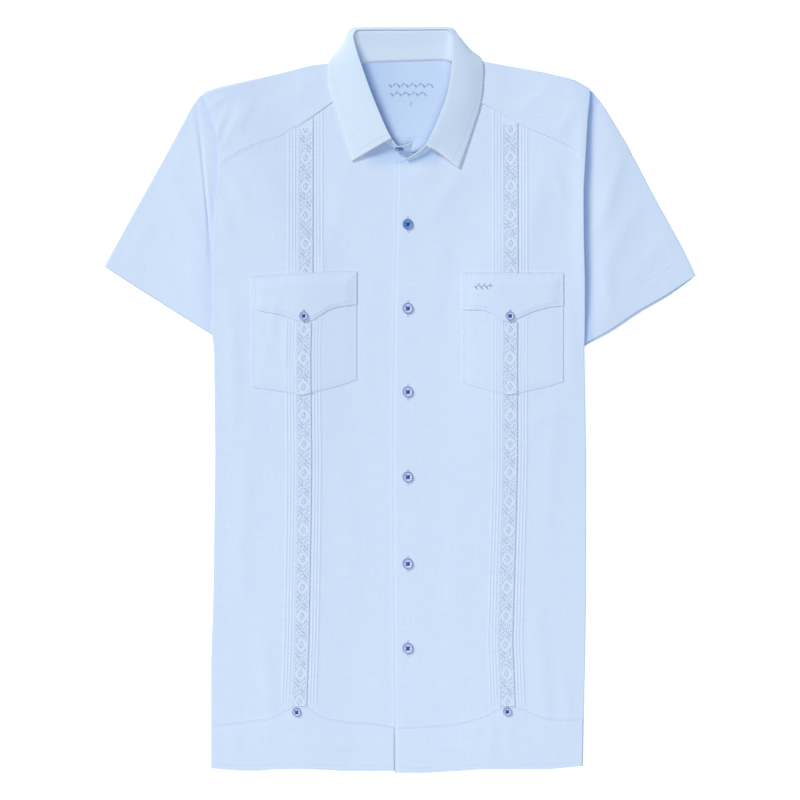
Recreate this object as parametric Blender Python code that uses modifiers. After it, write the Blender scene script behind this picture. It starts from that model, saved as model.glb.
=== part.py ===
"""A short-sleeved guayabera shirt, buttoned up and laid out flat on its back.

The floor is z = 0, the collar points along +Y and the front faces up. The
wearer's right is at -X and the wearer's left at +X. Both sides of the body are
pushed in between front and back like the sides of a paper bag, so each side is
a stack of cloth: back, turned-in back, the sleeve where there is one, turned-in
front, front. Every piece is a wall of cloth through a grid of points in the
middle of that wall.
"""

from collections import namedtuple

import bpy
import bmesh
import numpy as np
from mathutils import Vector

MM = 0.001

# ---- Driving sizes -------------------------------------------------------

CLOTH = 1.0 * MM          # wall of a cloth piece
GAP = 0.3 * MM            # room between neighbouring pieces
LAYER = CLOTH + GAP       # one more layer of cloth in a stack
LAID = CLOTH + 0.4 * MM   # a piece sewn on top of a panel
FLAP_LAID = 2 * LAID + 0.8 * MM   # a flap, which clears the tucks of its pocket
SEAM_ROOM = 1.4 * GAP     # between two facing edges that slope to each other
TURN = LAYER / 2          # radius of a fold, to the middle of the wall
FOLD_STEPS = 4            # facets round a fold
TUCK_IN = 88 * MM         # how far a side is pushed in between front and back
RAMP = 75 * MM            # width over which a panel climbs onto the side stack
SIDES = {"right": -1, "left": 1}
LAPPED = {"right": 0, "left": 1}   # the wearer's left front laps over the right

TUCK_OFFSETS = np.array([-18, -13, 13, 18]) * MM   # pintucks beside a band
TUCK_HALF = 1.5 * MM
TUCK_RISE = 0.5 * MM
BAND_HALF = 8.5 * MM

CLOTH_BLUE = (0.62, 0.74, 0.92)
LEAF_BLUE = (0.64, 0.76, 0.90)
BAND_BLUE = (0.58, 0.71, 0.89)
BUTTON_BLUE = (0.60, 0.72, 0.88)


def table(columns, *rows):
    """Rows written in millimetres, as one array in metres for each column name."""
    return dict(zip(columns.split(), np.array(rows, float).T * MM))


def read(chart, key, column, at):
    """The chart's column, read at a value of its key column."""
    return np.interp(at, chart[key], chart[column])


def smooth(share):
    """0 to 1 with level ends."""
    share = np.clip(share, 0, 1)
    return share * share * (3 - 2 * share)


# ---- Charts of the outline, in millimetres ----------------------------------

# Half widths of the body, out from the centre line to each side fold.
EDGE = table(
    "height right left",
    (-410, 208.0, 201.0),
    (-285, 208.0, 203.5),
    (-219, 205.7, 204.6),
    (-60, 203.5, 204.6),
    (58, 204.6, 202.4),
    (73, 206.8, 203.3),
    (135, 206.5, 203.3),
    (174, 205.5, 202.2),
    (219, 204.2, 201.8),
    (234, 201.2, 201.9),
    (261, 200.2, 203.5),
    (287, 201.3, 205.0),
    (308, 205.7, 206.2),
    (335, 216.0, 209.0),
)

# How far the cloth runs back under itself from the fold: to the side seam up to
# the bottom of the armhole, and to the armhole seam above it.
RETURN = table(
    "height right left",
    (134, 88, 88),
    (145, 64, 64),
    (165, 38, 38),
    (190, 14, 16),
    (219, 3, 8),
    (240, 3, 7),
    (262, 3, 6),
    (300, 3, 5),
    (335, 3, 3),
)

HEM = {
    "right": table("out height", (-22, -407), (10, -407), (63, -407), (87, -405.4),
                   (108, -404.4), (142, -404.8), (150, -406.3), (178, -406.3), (207, -403.7)),
    "left": table("out height", (-4, -408.9), (29, -408.9), (66, -406.6), (89, -404.8),
                  (163, -404.8), (201, -401.1)),
}

# Top edge of each front: the neckline out to the neck point, then the yoke seam.
FRONT_TOP = {
    "right": table("out height", (-22, 272), (-10, 274), (10, 281), (30, 299), (46, 322),
                   (52, 344), (74, 329), (92.5, 314.8), (115.5, 299.6), (145, 286.2),
                   (170, 276.1), (188, 265), (206, 253)),
    "left": table("out height", (-4, 261.5), (18, 267), (36, 279), (52, 300), (61, 322),
                  (64, 342), (74, 336.6), (109.8, 317.2), (132.8, 303.4), (145, 298.2),
                  (170, 287.8), (188, 279), (206, 262)),
}

SHOULDER = table(
    "out right left",
    (0, 376, 377),
    (78, 371.5, 374.5),
    (93.5, 369.6, 373.3),
    (122, 361.9, 368.0),
    (152, 354.2, 362.4),
    (188, 345.4, 354.0),
    (205, 339.5, 343.9),
    (217, 335.0, 336.0),
)

# Centre line of each embroidered band.
BAND = table(
    "height right left",
    (-410, 112.0, 119.0),
    (-336, 111.0, 118.3),
    (-263, 108.5, 115.5),
    (-120, 106.0, 119.4),
    (-60, 105.5, 120.8),
    (50, 106.5, 120.5),
    (143, 104.0, 121.3),
    (320, 104.0, 121.3),
)
BAND_END = -335.6 * MM

POCKET = {
    "right": table(
        "out top bottom flap",
        (47.5, 142.0, 23.5, 106.4),
        (66.4, 142.3, 17.0, 104.0),
        (79.2, 141.8, 13.6, 100.1),
        (85, 141.5, 12.2, 95.7),
        (95.7, 141.0, 9.0, 89.1),
        (105.6, 140.5, 6.2, 86.9),
        (115.5, 139.8, 8.2, 89.1),
        (126.5, 139.0, 9.8, 93.5),
        (137.5, 138.2, 11.7, 96.0),
        (154, 137.0, 13.9, 99.0),
        (163, 135.9, 15.1, 104.5),
    ),
    "left": table(
        "out top bottom flap",
        (68.5, 140.6, 19.8, 100.3),
        (90, 140.6, 13.7, 99.9),
        (102.7, 140.6, 10.3, 94.9),
        (112.5, 140.6, 8.0, 88.1),
        (120.5, 140.6, 6.6, 87.1),
        (128.3, 140.6, 8.2, 90.2),
        (146, 140.6, 12.4, 98.3),
        (164.6, 140.6, 16.6, 103.4),
        (179.5, 140.6, 21.3, 104.7),
    ),
}

HEM_BAND_TOP = {
    "right": table("out height", (6.6, -358.6), (27.8, -354.8), (58.6, -352.7), (78, -350),
                   (89.5, -345.4), (100, -338), (105, -336.3), (119, -336.3), (125, -338.5),
                   (137, -345), (147.4, -349.5), (179, -353), (208, -356.4)),
    "left": table("out height", (-4, -358.6), (33, -357.2), (59.4, -355), (77, -350.9), (92, -346),
                  (108, -337.5), (112, -336.3), (126, -336.3), (131, -338), (143.7, -342.4),
                  (158.4, -348.4), (174.6, -349.5), (201, -348.7)),
}

# Fold along the top of each sleeve, from the shoulder to the tip of the cuff.
OVERARM = {
    "right": table("out height", (213, 331.3), (222, 331.5), (229, 321), (240.9, 299.2),
                   (270.6, 245.3), (297, 198), (324.5, 147.4)),
    "left": table("out height", (206, 336.5), (217.8, 331.1), (223.3, 324.5), (246.4, 286),
                  (282.7, 217.3), (309.1, 170), (324.5, 137.5)),
}

# Edge of each cuff, from the tip to the hidden corner under the body.
CUFF = {
    "right": table("out height", (324.5, 147.4), (206.8, 73.7), (167.6, 49.2)),
    "left": table("out height", (324.5, 137.5), (291.5, 115.5), (262.9, 100.1), (231, 78.1),
                  (204.1, 63.8), (167, 43.5)),
}
CUFF_PEEK = {"right": 1.0 * MM, "left": 5.0 * MM}   # the cuff's back edge shows this much lower
CUFF_WAY = np.array([0.5, -0.86])   # straight out of a cuff: to the side and down

# Collar, from the wearer's right end round the back of the neck to the left end.
STAND = table(
    "neck_x neck_y neck_z roll_x roll_y roll_z",
    (12, 275, 3.4, 13.2, 283.5, 11),
    (4, 275.5, 3.4, 4.4, 280, 12.5),
    (-4, 276.5, 3.4, -3, 279.8, 13),
    (-16, 284.5, 3.4, -9, 287.5, 13.5),
    (-27, 293, 3.4, -15.5, 300, 14),
    (-42, 312, 3.4, -25, 322, 14.5),
    (-50, 335, 4.6, -32.5, 341, 15),
    (-50.2, 354, 4.8, -40, 362, 15.5),
    (-49, 366, 4.0, -46, 380, 15.2),
    (-47, 368, 3.5, -49.5, 392, 14.3),
    (-43.5, 368.5, 3.3, -51, 400, 13.3),
    (-39, 368.8, 3.3, -49, 404.5, 12.5),
    (-33, 369, 3.3, -44, 406.8, 11.7),
    (-15, 369.3, 3.3, -18, 407.2, 10.7),
    (8, 370, 3.3, 8, 407.2, 10.7),
    (32, 370.6, 3.3, 32, 407.4, 10.7),
    (46, 371, 3.3, 51, 407.2, 11.7),
    (51, 371, 3.3, 55, 404.5, 12.5),
    (56, 370.5, 3.5, 57, 400, 13.3),
    (59, 370, 3.7, 58.5, 392, 14.3),
    (61.5, 366, 4.8, 58.8, 382, 15.2),
    (62.3, 354, 6.3, 56.5, 365, 15.5),
    (62, 338, 6.0, 53, 341, 15),
    (55, 312, 5.0, 45.5, 318, 14.5),
    (44, 294, 5.0, 37, 298, 14),
    (34, 280, 5.0, 28.5, 281, 13),
    (22, 270.5, 4.8, 18, 272, 10.5),
    (8, 264, 4.7, 6.6, 266, 8.5),
)
LEAF_FROM, LEAF_TO = 3, 25   # the stations of the stand that carry the leaf
LEAF = table(
    "turn_x turn_y turn_z mid_x mid_y mid_z edge_x edge_y edge_z",
    (-14, 285.3, 14.2, -26.4, 278.3, 10.5, -52.8, 263.5, 3.8),
    (-21, 297, 14.6, -34, 292, 11, -57.5, 279, 3.9),
    (-31, 320, 15.2, -45, 315, 11.5, -65, 303, 4.0),
    (-39, 339, 15.7, -54, 336, 11.5, -72.5, 326, 4.3),
    (-46, 359, 16.0, -60, 355, 11.5, -78.3, 344, 5.0),
    (-52, 374, 15.6, -66, 366, 10.5, -79.8, 357, 5.2),
    (-55, 387, 13.8, -68, 376, 9, -79.2, 368.5, 5.1),
    (-56.5, 396.5, 11.8, -66.5, 384.5, 6, -76.5, 375.5, 3.2),
    (-56, 403.5, 10, -65, 390, 1.6, -73.5, 377, 0.5),
    (-53, 408, 8, -58, 389, 0.8, -67, 358, 0.5),
    (-22, 409, 7.5, -25, 390, 0.8, -30, 352, 0.5),
    (8, 409, 7.5, 8, 390, 0.8, 6, 351, 0.5),
    (34, 409.2, 7.5, 36, 390, 0.8, 40, 352, 0.5),
    (57, 408.4, 8, 64, 389, 0.8, 74, 358, 0.5),
    (62, 403, 10, 73, 389.4, 1.6, 84, 378, 0.5),
    (65, 397.5, 11.8, 77, 386, 6, 87.5, 378.5, 3.4),
    (66, 389, 13.6, 78.5, 379, 9.5, 91, 371.5, 6.5),
    (66, 378, 15.2, 78, 369, 11.5, 92.3, 363, 6.6),
    (63, 362.5, 16.0, 76, 358, 12, 92.2, 353, 6.6),
    (59.5, 339, 15.6, 74, 335, 11.5, 89.5, 328, 6.2),
    (52, 316, 15.2, 66, 311, 11, 82, 303, 5.4),
    (43, 295, 14.6, 56, 289, 10.5, 74, 279, 5.3),
    (32, 277.6, 13.4, 41.8, 272.8, 10.5, 65.8, 254.9, 5.2),
)

YOKE_SEAM_BACK = 290 * MM
BACK_HEM = -399.5 * MM
BACK_NECK = 372.5 * MM

# Heights of the rows of points, at the side folds, and places of the plain columns between the
# outline's corners and the side.
FRONT_ROWS = np.array([-345, -328, -215, -110, -60, -10, 36, 85, 134, 145, 165, 190, 219, 238]) * MM
BACK_ROWS = np.array([-200, 0, 134, 145, 165, 190, 219, 240, 262]) * MM
FRONT_COLUMNS = np.array([74, 145, 170, 188]) * MM
BACK_COLUMNS = np.array([-100, 0, 100]) * MM

# The yoke's rows: on its front as shares from the seam to the fold, on its back as heights, which
# keep at least the steps below the fold.
YOKE_FRONT_SHARES = np.array([0, 0.4, 0.75, 1])
YOKE_BACK_HEIGHTS = np.array([347, 336, 325]) * MM
YOKE_BACK_STEPS = np.array([3, 6, 9]) * MM
FRONT_SIDE_ROWS = len(YOKE_FRONT_SHARES) + FOLD_STEPS - 1   # rows above the back
NECK_COLUMNS = np.array([-28, 5, 38]) * MM

SLEEVE_SHARES = np.linspace(0, 1, 10)   # round half a sleeve, and from the armhole to the cuff

# Buttons: heights of the front ones, then the centres of the others.
FRONT_BUTTONS = np.array([194.2, 101.8, 9.9, -83.6, -178.9, -271.9]) * MM
FRONT_BUTTON_X = 8.6 * MM
POCKET_BUTTONS = {"right": 105.7 * MM, "left": 120.6 * MM}
POCKET_BUTTON_HEIGHT = 93.2 * MM
HEM_BUTTONS = {"right": (113.5 * MM, -341.8 * MM), "left": (117.9 * MM, -341.2 * MM)}
COLLAR_BUTTON = (-0.5 * MM, 276.4 * MM, 8.6 * MM)
COLLAR_BUTTON_NORMAL = (-0.15, -1, 0.3)
FRONT_BUTTON = dict(radius=5.7 * MM, thickness=2.2 * MM, hole=0.65 * MM, hole_ring=1.5 * MM)
SMALL_BUTTON = dict(radius=4.6 * MM, thickness=2.0 * MM, hole=0.55 * MM, hole_ring=1.2 * MM)
BUTTON_SEAT = 1.3 * GAP   # under a button


# ---- Where each layer of cloth lies -----------------------------------------

def fold_edge(side, y):
    return read(EDGE, "height", side, y)


def turned_in(side, y):
    return read(RETURN, "height", side, y)


def sleeve_share(y):
    """1 where the sleeve lies in the side stack, 0 below it."""
    return smooth((y + 110 * MM) / (146 * MM))


def side_share(side, out, y):
    """1 over the side stack, falling to 0 over the ramp towards the centre. Beside the armhole
    the stack narrows evenly, and stays a little wider than the cloth that is turned in there."""
    width = 2 * MM + np.interp(y, [134 * MM, 270 * MM], [TUCK_IN, 18 * MM])
    return smooth((out - fold_edge(side, y) + width + RAMP) / RAMP)


def over_leaf(x, y):
    """How far the yoke is lifted by the collar leaf that lies under its neck."""
    across = smooth((118 * MM - np.abs(x)) / (16 * MM))
    return LAYER * across * smooth((y - 325 * MM) / (20 * MM))


def front_height(side, out, y):
    """Middle of the front's wall above the floor."""
    share = side_share(side, out, y)
    layers = 1 + LAPPED[side] * (1 - share) + share * (2 + 2 * sleeve_share(y))
    return CLOTH / 2 + LAYER * layers + over_leaf(out, y)


def back_height(x, y):
    return CLOTH / 2 + over_leaf(x, y)


def tuck_rise(y):
    """Height of the pintucks, which end under the hem band."""
    return TUCK_RISE * smooth((y + 336 * MM) / (8 * MM))


# ---- Making objects ---------------------------------------------------------

def clear_scene():
    for thing in list(bpy.data.objects):
        bpy.data.objects.remove(thing, do_unlink=True)


def new_collection(name):
    group = bpy.data.collections.new(name)
    bpy.context.scene.collection.children.link(group)
    return group


def material(name, colour, roughness):
    made = bpy.data.materials.new(name)
    made.use_nodes = True
    shader = made.node_tree.nodes["Principled BSDF"]
    shader.inputs["Base Color"].default_value = (*colour, 1)
    shader.inputs["Roughness"].default_value = roughness
    shader.inputs["Metallic"].default_value = 0
    return made


def cloth_piece(name, grid, colour, keep=None, ring=False):
    """A closed wall of cloth through a grid of points (rows, columns, xyz)."""
    rows, columns = grid.shape[:2]
    index = np.arange(rows * columns).reshape(rows, columns)
    if ring:
        index = np.hstack([index, index[:, :1]])
    quads = np.stack([index[:-1, :-1], index[:-1, 1:], index[1:, 1:], index[1:, :-1]], -1)
    quads = quads.reshape(-1, 4) if keep is None else quads[keep]
    used, numbers = np.unique(quads, return_inverse=True)
    mesh = bpy.data.meshes.new(name)
    mesh.from_pydata(grid.reshape(-1, 3)[used].tolist(), [], numbers.reshape(-1, 4).tolist())
    mesh.materials.append(material(name, colour, 0.85))
    mesh.shade_smooth()
    piece = bpy.data.objects.new(name, mesh)
    shirt.objects.link(piece)
    wall = piece.modifiers.new("wall", "SOLIDIFY")
    wall.thickness = CLOTH
    wall.offset = 0
    wall.use_even_offset = True
    wall.use_quality_normals = True
    return piece


# Angles from straight up to straight down, round the outside of a fold.
FOLD_ANGLES = np.linspace(np.pi / 2, -np.pi / 2, FOLD_STEPS + 1)


# ---- Fronts -----------------------------------------------------------------

# A column of points up a front: its distance out, or its offset from the embroidered band where
# it follows that, and 1 where it is the crest of a tuck.
Column = namedtuple("Column", "out offset rise")


def fixed(*outs):
    return [Column(out, None, 0) for out in outs]


def tuck_columns(inner, outer):
    """Foot, crest and foot of each tuck whose offset from the band lies between two values."""
    steps = ((-TUCK_HALF, 0), (0, 1), (TUCK_HALF, 0))
    return [Column(None, offset + step, rise) for offset in TUCK_OFFSETS
            if inner < offset < outer for step, rise in steps]


def out_at(side, column, y):
    if column.offset is None:
        return np.full(np.shape(y), column.out)
    return read(BAND, "height", side, y) + column.offset


def in_order(side, columns):
    return sorted(columns, key=lambda column: float(out_at(side, column, 80 * MM)))


def seam_end(side):
    """Height of the yoke seam where it meets the side fold."""
    return read(FRONT_TOP[side], "out", "height", fold_edge(side, 258 * MM))


def column_heights(side, column, shares):
    """Heights of the points of a front's column, from the hem to its top edge."""
    top, hem = FRONT_TOP[side], HEM[side]
    low = read(hem, "out", "height", out_at(side, column, hem["height"][0]))
    high = read(top, "out", "height", out_at(side, column, 300 * MM))
    return low + shares * (high - low)


def front_points(side):
    """The front out to its side fold: distances out, heights up, and the middle of the wall
    without its tucks."""
    rows = np.concatenate([[read(HEM[side], "out", "height", 1)], FRONT_ROWS, [seam_end(side)]])
    shares = (rows - rows[0]) / (rows[-1] - rows[0])
    columns = fixed(*FRONT_TOP[side]["out"][:6], *FRONT_COLUMNS) + tuck_columns(-1, 1)
    columns = in_order(side, columns)
    y = np.stack([column_heights(side, column, shares) for column in columns], 1)
    out = np.stack([out_at(side, column, y[:, i]) for i, column in enumerate(columns)], 1)
    out = np.hstack([out, fold_edge(side, rows)[:, None] - TURN - CLOTH / 2])
    y = np.hstack([y, rows[:, None]])
    return {"columns": columns, "rows": rows, "shares": shares, "out": out, "y": y,
            "z": front_height(side, out, y)}


def height_on_front(side, out, y):
    """Middle of the front's wall, read from the same flat facets that the front is built from."""
    grid = fronts[side]
    found = []
    for one_out, one_y in zip(out, y):
        here = [[np.interp(one_y, *column) for column in zip(grid["y"].T, grid[name].T)]
                for name in ("out", "z")]
        found.append(np.interp(one_out, *here))
    return np.array(found)


def front_panel(side):
    grid = fronts[side]
    rise = np.array([column.rise for column in grid["columns"]] + [0]) * tuck_rise(grid["y"])
    points = np.stack([SIDES[side] * grid["out"], grid["y"], grid["z"] + rise], -1)
    folded = np.stack(side_fold(side, grid["rows"], grid["z"][:, -1], -1), 1)
    cloth_piece("front_" + side, np.concatenate([points[:, :-1], folded], 1), CLOTH_BLUE)


def side_fold(side, y, z, towards):
    """Columns round a side fold and back in to the seam: from the wall at height z to the next
    layer, which is above it (towards = 1) or below it (towards = -1)."""
    sign = SIDES[side]
    edge = fold_edge(side, y)
    centre = edge - TURN - CLOTH / 2
    columns = []
    for angle in FOLD_ANGLES:
        out = centre + TURN * np.cos(angle)
        columns.append(np.stack([sign * out, y, z + towards * TURN * (1 - np.sin(angle))], -1))
    seam = edge - turned_in(side, y)
    columns.append(np.stack([sign * seam, y, z + towards * LAYER], -1))
    return columns


def laid_on_front(side, columns, top, bottom, height):
    """A grid that follows the front at some height above it, between two outlines given as
    functions of the distance out. It has a row of points wherever the front has one."""
    grid = fronts[side]
    ends = []
    for column in columns:
        high = top(out_at(side, column, 100 * MM))
        high = top(out_at(side, column, high))
        low = bottom(out_at(side, column, high))
        low = bottom(out_at(side, column, low))
        ends.append((low, column_heights(side, column, grid["shares"]), high))
    inner = [i for i in range(len(grid["shares"]))
             if all(low + 3 * MM < heights[i] < high - 3 * MM for low, heights, high in ends)]
    points = []
    for column, (low, heights, high) in zip(columns, ends):
        y = np.concatenate([[low], heights[inner], [high]])
        out = out_at(side, column, y)
        z = height_on_front(side, out, y) + column.rise * tuck_rise(y) + height
        points.append(np.stack([SIDES[side] * out, y, z], -1))
    return np.stack(points, 1)


def outline(chart, name, shift=0):
    """A column of a chart as a function of the distance out."""
    return lambda out: float(read(chart, "out", name, out)) + shift


def hem_band(side):
    """The shaped facing sewn on along the hem of a front."""
    upper = HEM_BAND_TOP[side]
    outs = [*upper["out"][:-1], fold_edge(side, -380 * MM) - 2.5 * MM]
    grid = laid_on_front(side, fixed(*outs), outline(upper, "height"),
                         outline(HEM[side], "height", 0.4 * MM), LAID)
    cloth_piece("hem_band_" + side, grid, CLOTH_BLUE)


# ---- Back and yoke ----------------------------------------------------------

def back_panel():
    """The back lies flat on the floor from side fold to side fold, its sides turned in on top."""
    y = np.concatenate([[BACK_HEM], BACK_ROWS, [YOKE_SEAM_BACK - GAP]])
    flat = np.full(len(y), CLOTH / 2)
    right = side_fold("right", y, flat, 1)
    left = side_fold("left", y, flat, 1)
    middle = [np.stack([np.full(len(y), x), y, flat], -1) for x in BACK_COLUMNS]
    grid = np.stack(right[::-1] + middle + left, 1)
    cloth_piece("back", grid, CLOTH_BLUE)


def yoke():
    """One piece over both shoulders. Its columns run from the wearer's right armhole to the left
    one; the columns of the neck have only the rows on the back."""
    right, left = (yoke_columns(side) for side in SIDES)
    neck = [neck_column(x) for x in NECK_COLUMNS]
    grid = np.stack(right + neck + left[::-1], 1)
    keep = np.ones((grid.shape[0] - 1, grid.shape[1] - 1), bool)
    keep[:FRONT_SIDE_ROWS, len(right) - 1 : len(right) + len(neck)] = False
    cloth_piece("yoke", grid, CLOTH_BLUE, keep)


def yoke_columns(side):
    """One shoulder, from the armhole seam to the neck point. The armhole edge is folded in, as
    the sides of the body are."""
    out, seam = fold_edge(side, 300 * MM), seam_end(side) + SEAM_ROOM
    sewn_at = lambda y: fold_edge(side, y) - turned_in(side, y)
    columns = [yoke_rows(side, out, seam, sewn_at, LAYER)]
    for angle in FOLD_ANGLES[::-1]:
        inward = TURN * (1 - np.cos(angle)) + CLOTH / 2
        fold_at = lambda y: fold_edge(side, y) - inward
        columns.append(yoke_rows(side, out, seam, fold_at, TURN * (1 - np.sin(angle))))
    for out in FRONT_TOP[side]["out"][-2:4:-1]:
        seam = read(FRONT_TOP[side], "out", "height", out) + SEAM_ROOM
        columns.append(yoke_rows(side, out, seam, lambda y: out, 0))
    return columns


def yoke_rows(side, out, seam, x_of, inside):
    """Rows of one column of the yoke, from its seam with the front, over the shoulder and down
    to its seam with the back. x_of gives the distance out at a height. The front rows lie some
    way inside the front's wall and the back rows as far inside the back's, so that the shoulder
    fold there is tighter by as much."""
    high = front_height(side, out, 332 * MM)
    low = back_height(out, 345 * MM)
    radius = (high - low) / 2
    line = read(SHOULDER, "out", side, out) - radius - CLOTH / 2
    front_y = seam + YOKE_FRONT_SHARES * (line - seam)
    front_z = front_height(side, np.full(len(front_y), out), front_y)
    front_z[-1] = high
    back_y = np.minimum(YOKE_BACK_HEIGHTS, line - YOKE_BACK_STEPS)
    back_y = np.concatenate([[line], back_y, [YOKE_SEAM_BACK + GAP]])
    back_z = back_height(out, back_y)
    back_z[0] = low
    angles = FOLD_ANGLES[1:-1]
    turn_y = line + (radius - inside) * np.cos(angles)
    turn_z = (high + low) / 2 + (radius - inside) * np.sin(angles)
    y = np.concatenate([front_y, turn_y, back_y])
    z = np.concatenate([front_z - inside, turn_z, back_z + inside])
    x = SIDES[side] * x_of(np.minimum(y, line))
    return np.stack([np.broadcast_to(x, y.shape), y, z], -1)


def neck_column(x):
    """A column of the yoke behind the neck. Its upper rows, which the yoke leaves out, stand at
    the neck seam."""
    y = np.concatenate([np.full(FRONT_SIDE_ROWS + 1, BACK_NECK), YOKE_BACK_HEIGHTS,
                        [YOKE_SEAM_BACK + GAP]])
    return np.stack([np.full(len(y), x), y, back_height(x, y)], -1)


# ---- Sleeves ----------------------------------------------------------------

def along(outline, shares):
    """Points at these shares of the length of an outline."""
    points = np.stack([outline["out"], outline["height"]], -1)
    lengths = np.concatenate([[0], np.cumsum(np.linalg.norm(np.diff(points, axis=0), axis=1))])
    at = shares * lengths[-1]
    return np.stack([np.interp(at, lengths, points[:, i]) for i in (0, 1)], -1)


def armhole_line(side, top):
    """The armhole seam, from the side seam up to the shoulder, as it lies with the side turned in."""
    y = np.array([134, 145, 165, 190, 219, 245, 275, 305, 0]) * MM
    y[-1] = top
    return {"out": fold_edge(side, y) - turned_in(side, y), "height": y}


def sleeve_height(side, out, y):
    """Middle between the sleeve's two layers: in the side stack under the body, and on the
    floor outside it."""
    beyond = out - fold_edge(side, y) - 4 * MM
    return CLOTH / 2 + LAYER * (0.5 + 2 * smooth(1 - beyond / (70 * MM)))


def sleeve(side):
    """A flattened tube. u runs round it from the underarm seam up to the overarm fold, v from
    the armhole to the cuff. The flat shape fills in between its four edges, and its two layers
    meet in a fold at each side."""
    u, v = SLEEVE_SHARES, SLEEVE_SHARES ** 1.15
    top = along(OVERARM[side], v)
    cap = along(armhole_line(side, top[0, 1]), u)
    cap[-1] = top[0]
    hem = along(CUFF[side], 1 - u)
    under = cap[0] + v[:, None] * (hem[0] - cap[0])
    plan = fill_between(cap, hem, under, top)
    peek = CUFF_PEEK[side] * np.outer(v ** 4, np.sin(np.pi * u) ** 0.5)
    lower_plan = plan + peek[..., None] * CUFF_WAY
    rings = [with_height(side, plan, 1)]
    rings += sleeve_fold(side, top, cap[-1] - cap[0], FOLD_ANGLES[1:-1])
    rings += [with_height(side, lower_plan[:, ::-1], -1)]
    rings += sleeve_fold(side, under, cap[0] - cap[-1], FOLD_ANGLES[-2:0:-1])
    cloth_piece("sleeve_" + side, np.concatenate(rings, 1), CLOTH_BLUE, ring=True)


def sleeve_fold(side, line, outward, angles):
    """Lines of points round the fold beside one line of the plan."""
    beyond = TURN * away_from(line, outward)
    return [with_height(side, (line + np.cos(angle) * beyond)[:, None], np.sin(angle))
            for angle in angles]


def fill_between(start, end, first, last):
    """Points (v, u, 2) that fill the shape between four edges: the two ruled surfaces, less
    their corners."""
    u = np.linspace(0, 1, len(start))[None, :, None]
    v = np.linalg.norm(first - first[0], axis=1) / np.linalg.norm(first[-1] - first[0])
    v = v[:, None, None]
    ruled = (1 - v) * start + v * end
    sides = (1 - u) * first[:, None] + u * last[:, None]
    corners = (1 - u) * ((1 - v) * first[0] + v * first[-1])
    corners = corners + u * ((1 - v) * last[0] + v * last[-1])
    return ruled + sides - corners


def away_from(line, outward):
    """Unit directions square to a line of points, on its outward side."""
    step = np.gradient(line, axis=0)
    square = np.stack([step[:, 1], -step[:, 0]], -1)
    square /= np.linalg.norm(square, axis=1)[:, None]
    return square * np.sign(square @ outward)[:, None]


def with_height(side, plan, turn):
    """Gives points of the plan their height: turn is 1 on the upper layer and -1 on the lower one."""
    z = sleeve_height(side, plan[..., 0], plan[..., 1]) + turn * TURN
    return np.stack([SIDES[side] * plan[..., 0], plan[..., 1], z], -1)


# ---- Collar -----------------------------------------------------------------

def chart_points(chart, name):
    return np.stack([chart[name + "_x"], chart[name + "_y"], chart[name + "_z"]], -1)


def between(points, parts):
    """Points along a smooth curve through these, with some parts to each step (Catmull-Rom)."""
    before = np.concatenate([[2 * points[0] - points[1]], points, [2 * points[-1] - points[-2]]])
    found = []
    for i in range(1, len(before) - 2):
        p0, p1, p2, p3 = before[i - 1 : i + 3]
        for t in np.arange(parts) / parts:
            line, square = (p2 - p0) * t, (2 * p0 - 5 * p1 + 4 * p2 - p3) * t ** 2
            found.append((2 * p1 + line + square + (3 * p1 - p0 - 3 * p2 + p3) * t ** 3) / 2)
    return np.array(found + [points[-1]])


def collar():
    """The stand rises from the neck seam to the roll line. The leaf falls from the roll line
    over the fronts, and behind the neck it goes down to the floor and in under the yoke."""
    neck, roll = chart_points(STAND, "neck"), chart_points(STAND, "roll")
    bulge = (neck + roll) / 2 + np.array([0, 0, -0.8 * MM])
    cloth_piece("collar_stand", np.stack([neck, bulge, roll], 0), CLOTH_BLUE)
    turn, mid, edge = (chart_points(LEAF, name) for name in ("turn", "mid", "edge"))
    start = roll[LEAF_FROM : LEAF_TO + 1] + np.array([0, 0, LAYER])
    lines = np.stack([start, turn, mid, edge], 0)
    grid = between(lines, 2)
    grid[..., 2] = np.maximum(grid[..., 2], CLOTH / 2)
    cloth_piece("collar_leaf", grid, LEAF_BLUE)


# ---- Pockets and embroidered bands ----------------------------------------------

def pocket(side):
    """A patch pocket with the same tucks as the front under it, and a flap that comes to a point."""
    chart = POCKET[side]
    top, bottom, point = (outline(chart, name) for name in ("top", "bottom", "flap"))
    first, last = chart["out"][0], chart["out"][-1]
    columns = fixed(first, last) + [Column(None, 0, 0)] + tuck_columns(-1, 1)
    columns += fixed(*FRONT_COLUMNS[(first < FRONT_COLUMNS) & (FRONT_COLUMNS < last)])
    grid = laid_on_front(side, in_order(side, columns), top, bottom, LAID)
    cloth_piece("pocket_" + side, grid, CLOTH_BLUE)
    grid = laid_on_front(side, fixed(*chart["out"]), top, point, FLAP_LAID)
    cloth_piece("pocket_flap_" + side, grid, CLOTH_BLUE)


def bands(side):
    """The lengths of embroidered band that show on a front: on the chest, pocket and body."""
    chart = POCKET[side]
    seam = outline(FRONT_TOP[side], "height", -0.5 * MM)
    flap_tip = chart["flap"].min() - 4 * GAP
    lengths = {
        "chest": (seam, outline(chart, "top", 0.5 * MM), LAID),
        "pocket": (lambda out: flap_tip, outline(chart, "bottom", GAP), 2 * LAID),
        "body": (outline(chart, "bottom", -0.5 * MM), lambda out: BAND_END, LAID),
    }
    columns = [Column(None, share * BAND_HALF, 0) for share in (-1, 0, 1)]
    for name, (top, bottom, height) in lengths.items():
        grid = laid_on_front(side, columns, top, bottom, height)
        cloth_piece(f"band_{name}_{side}", grid, BAND_BLUE)


# ---- Buttons ----------------------------------------------------------------

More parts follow.
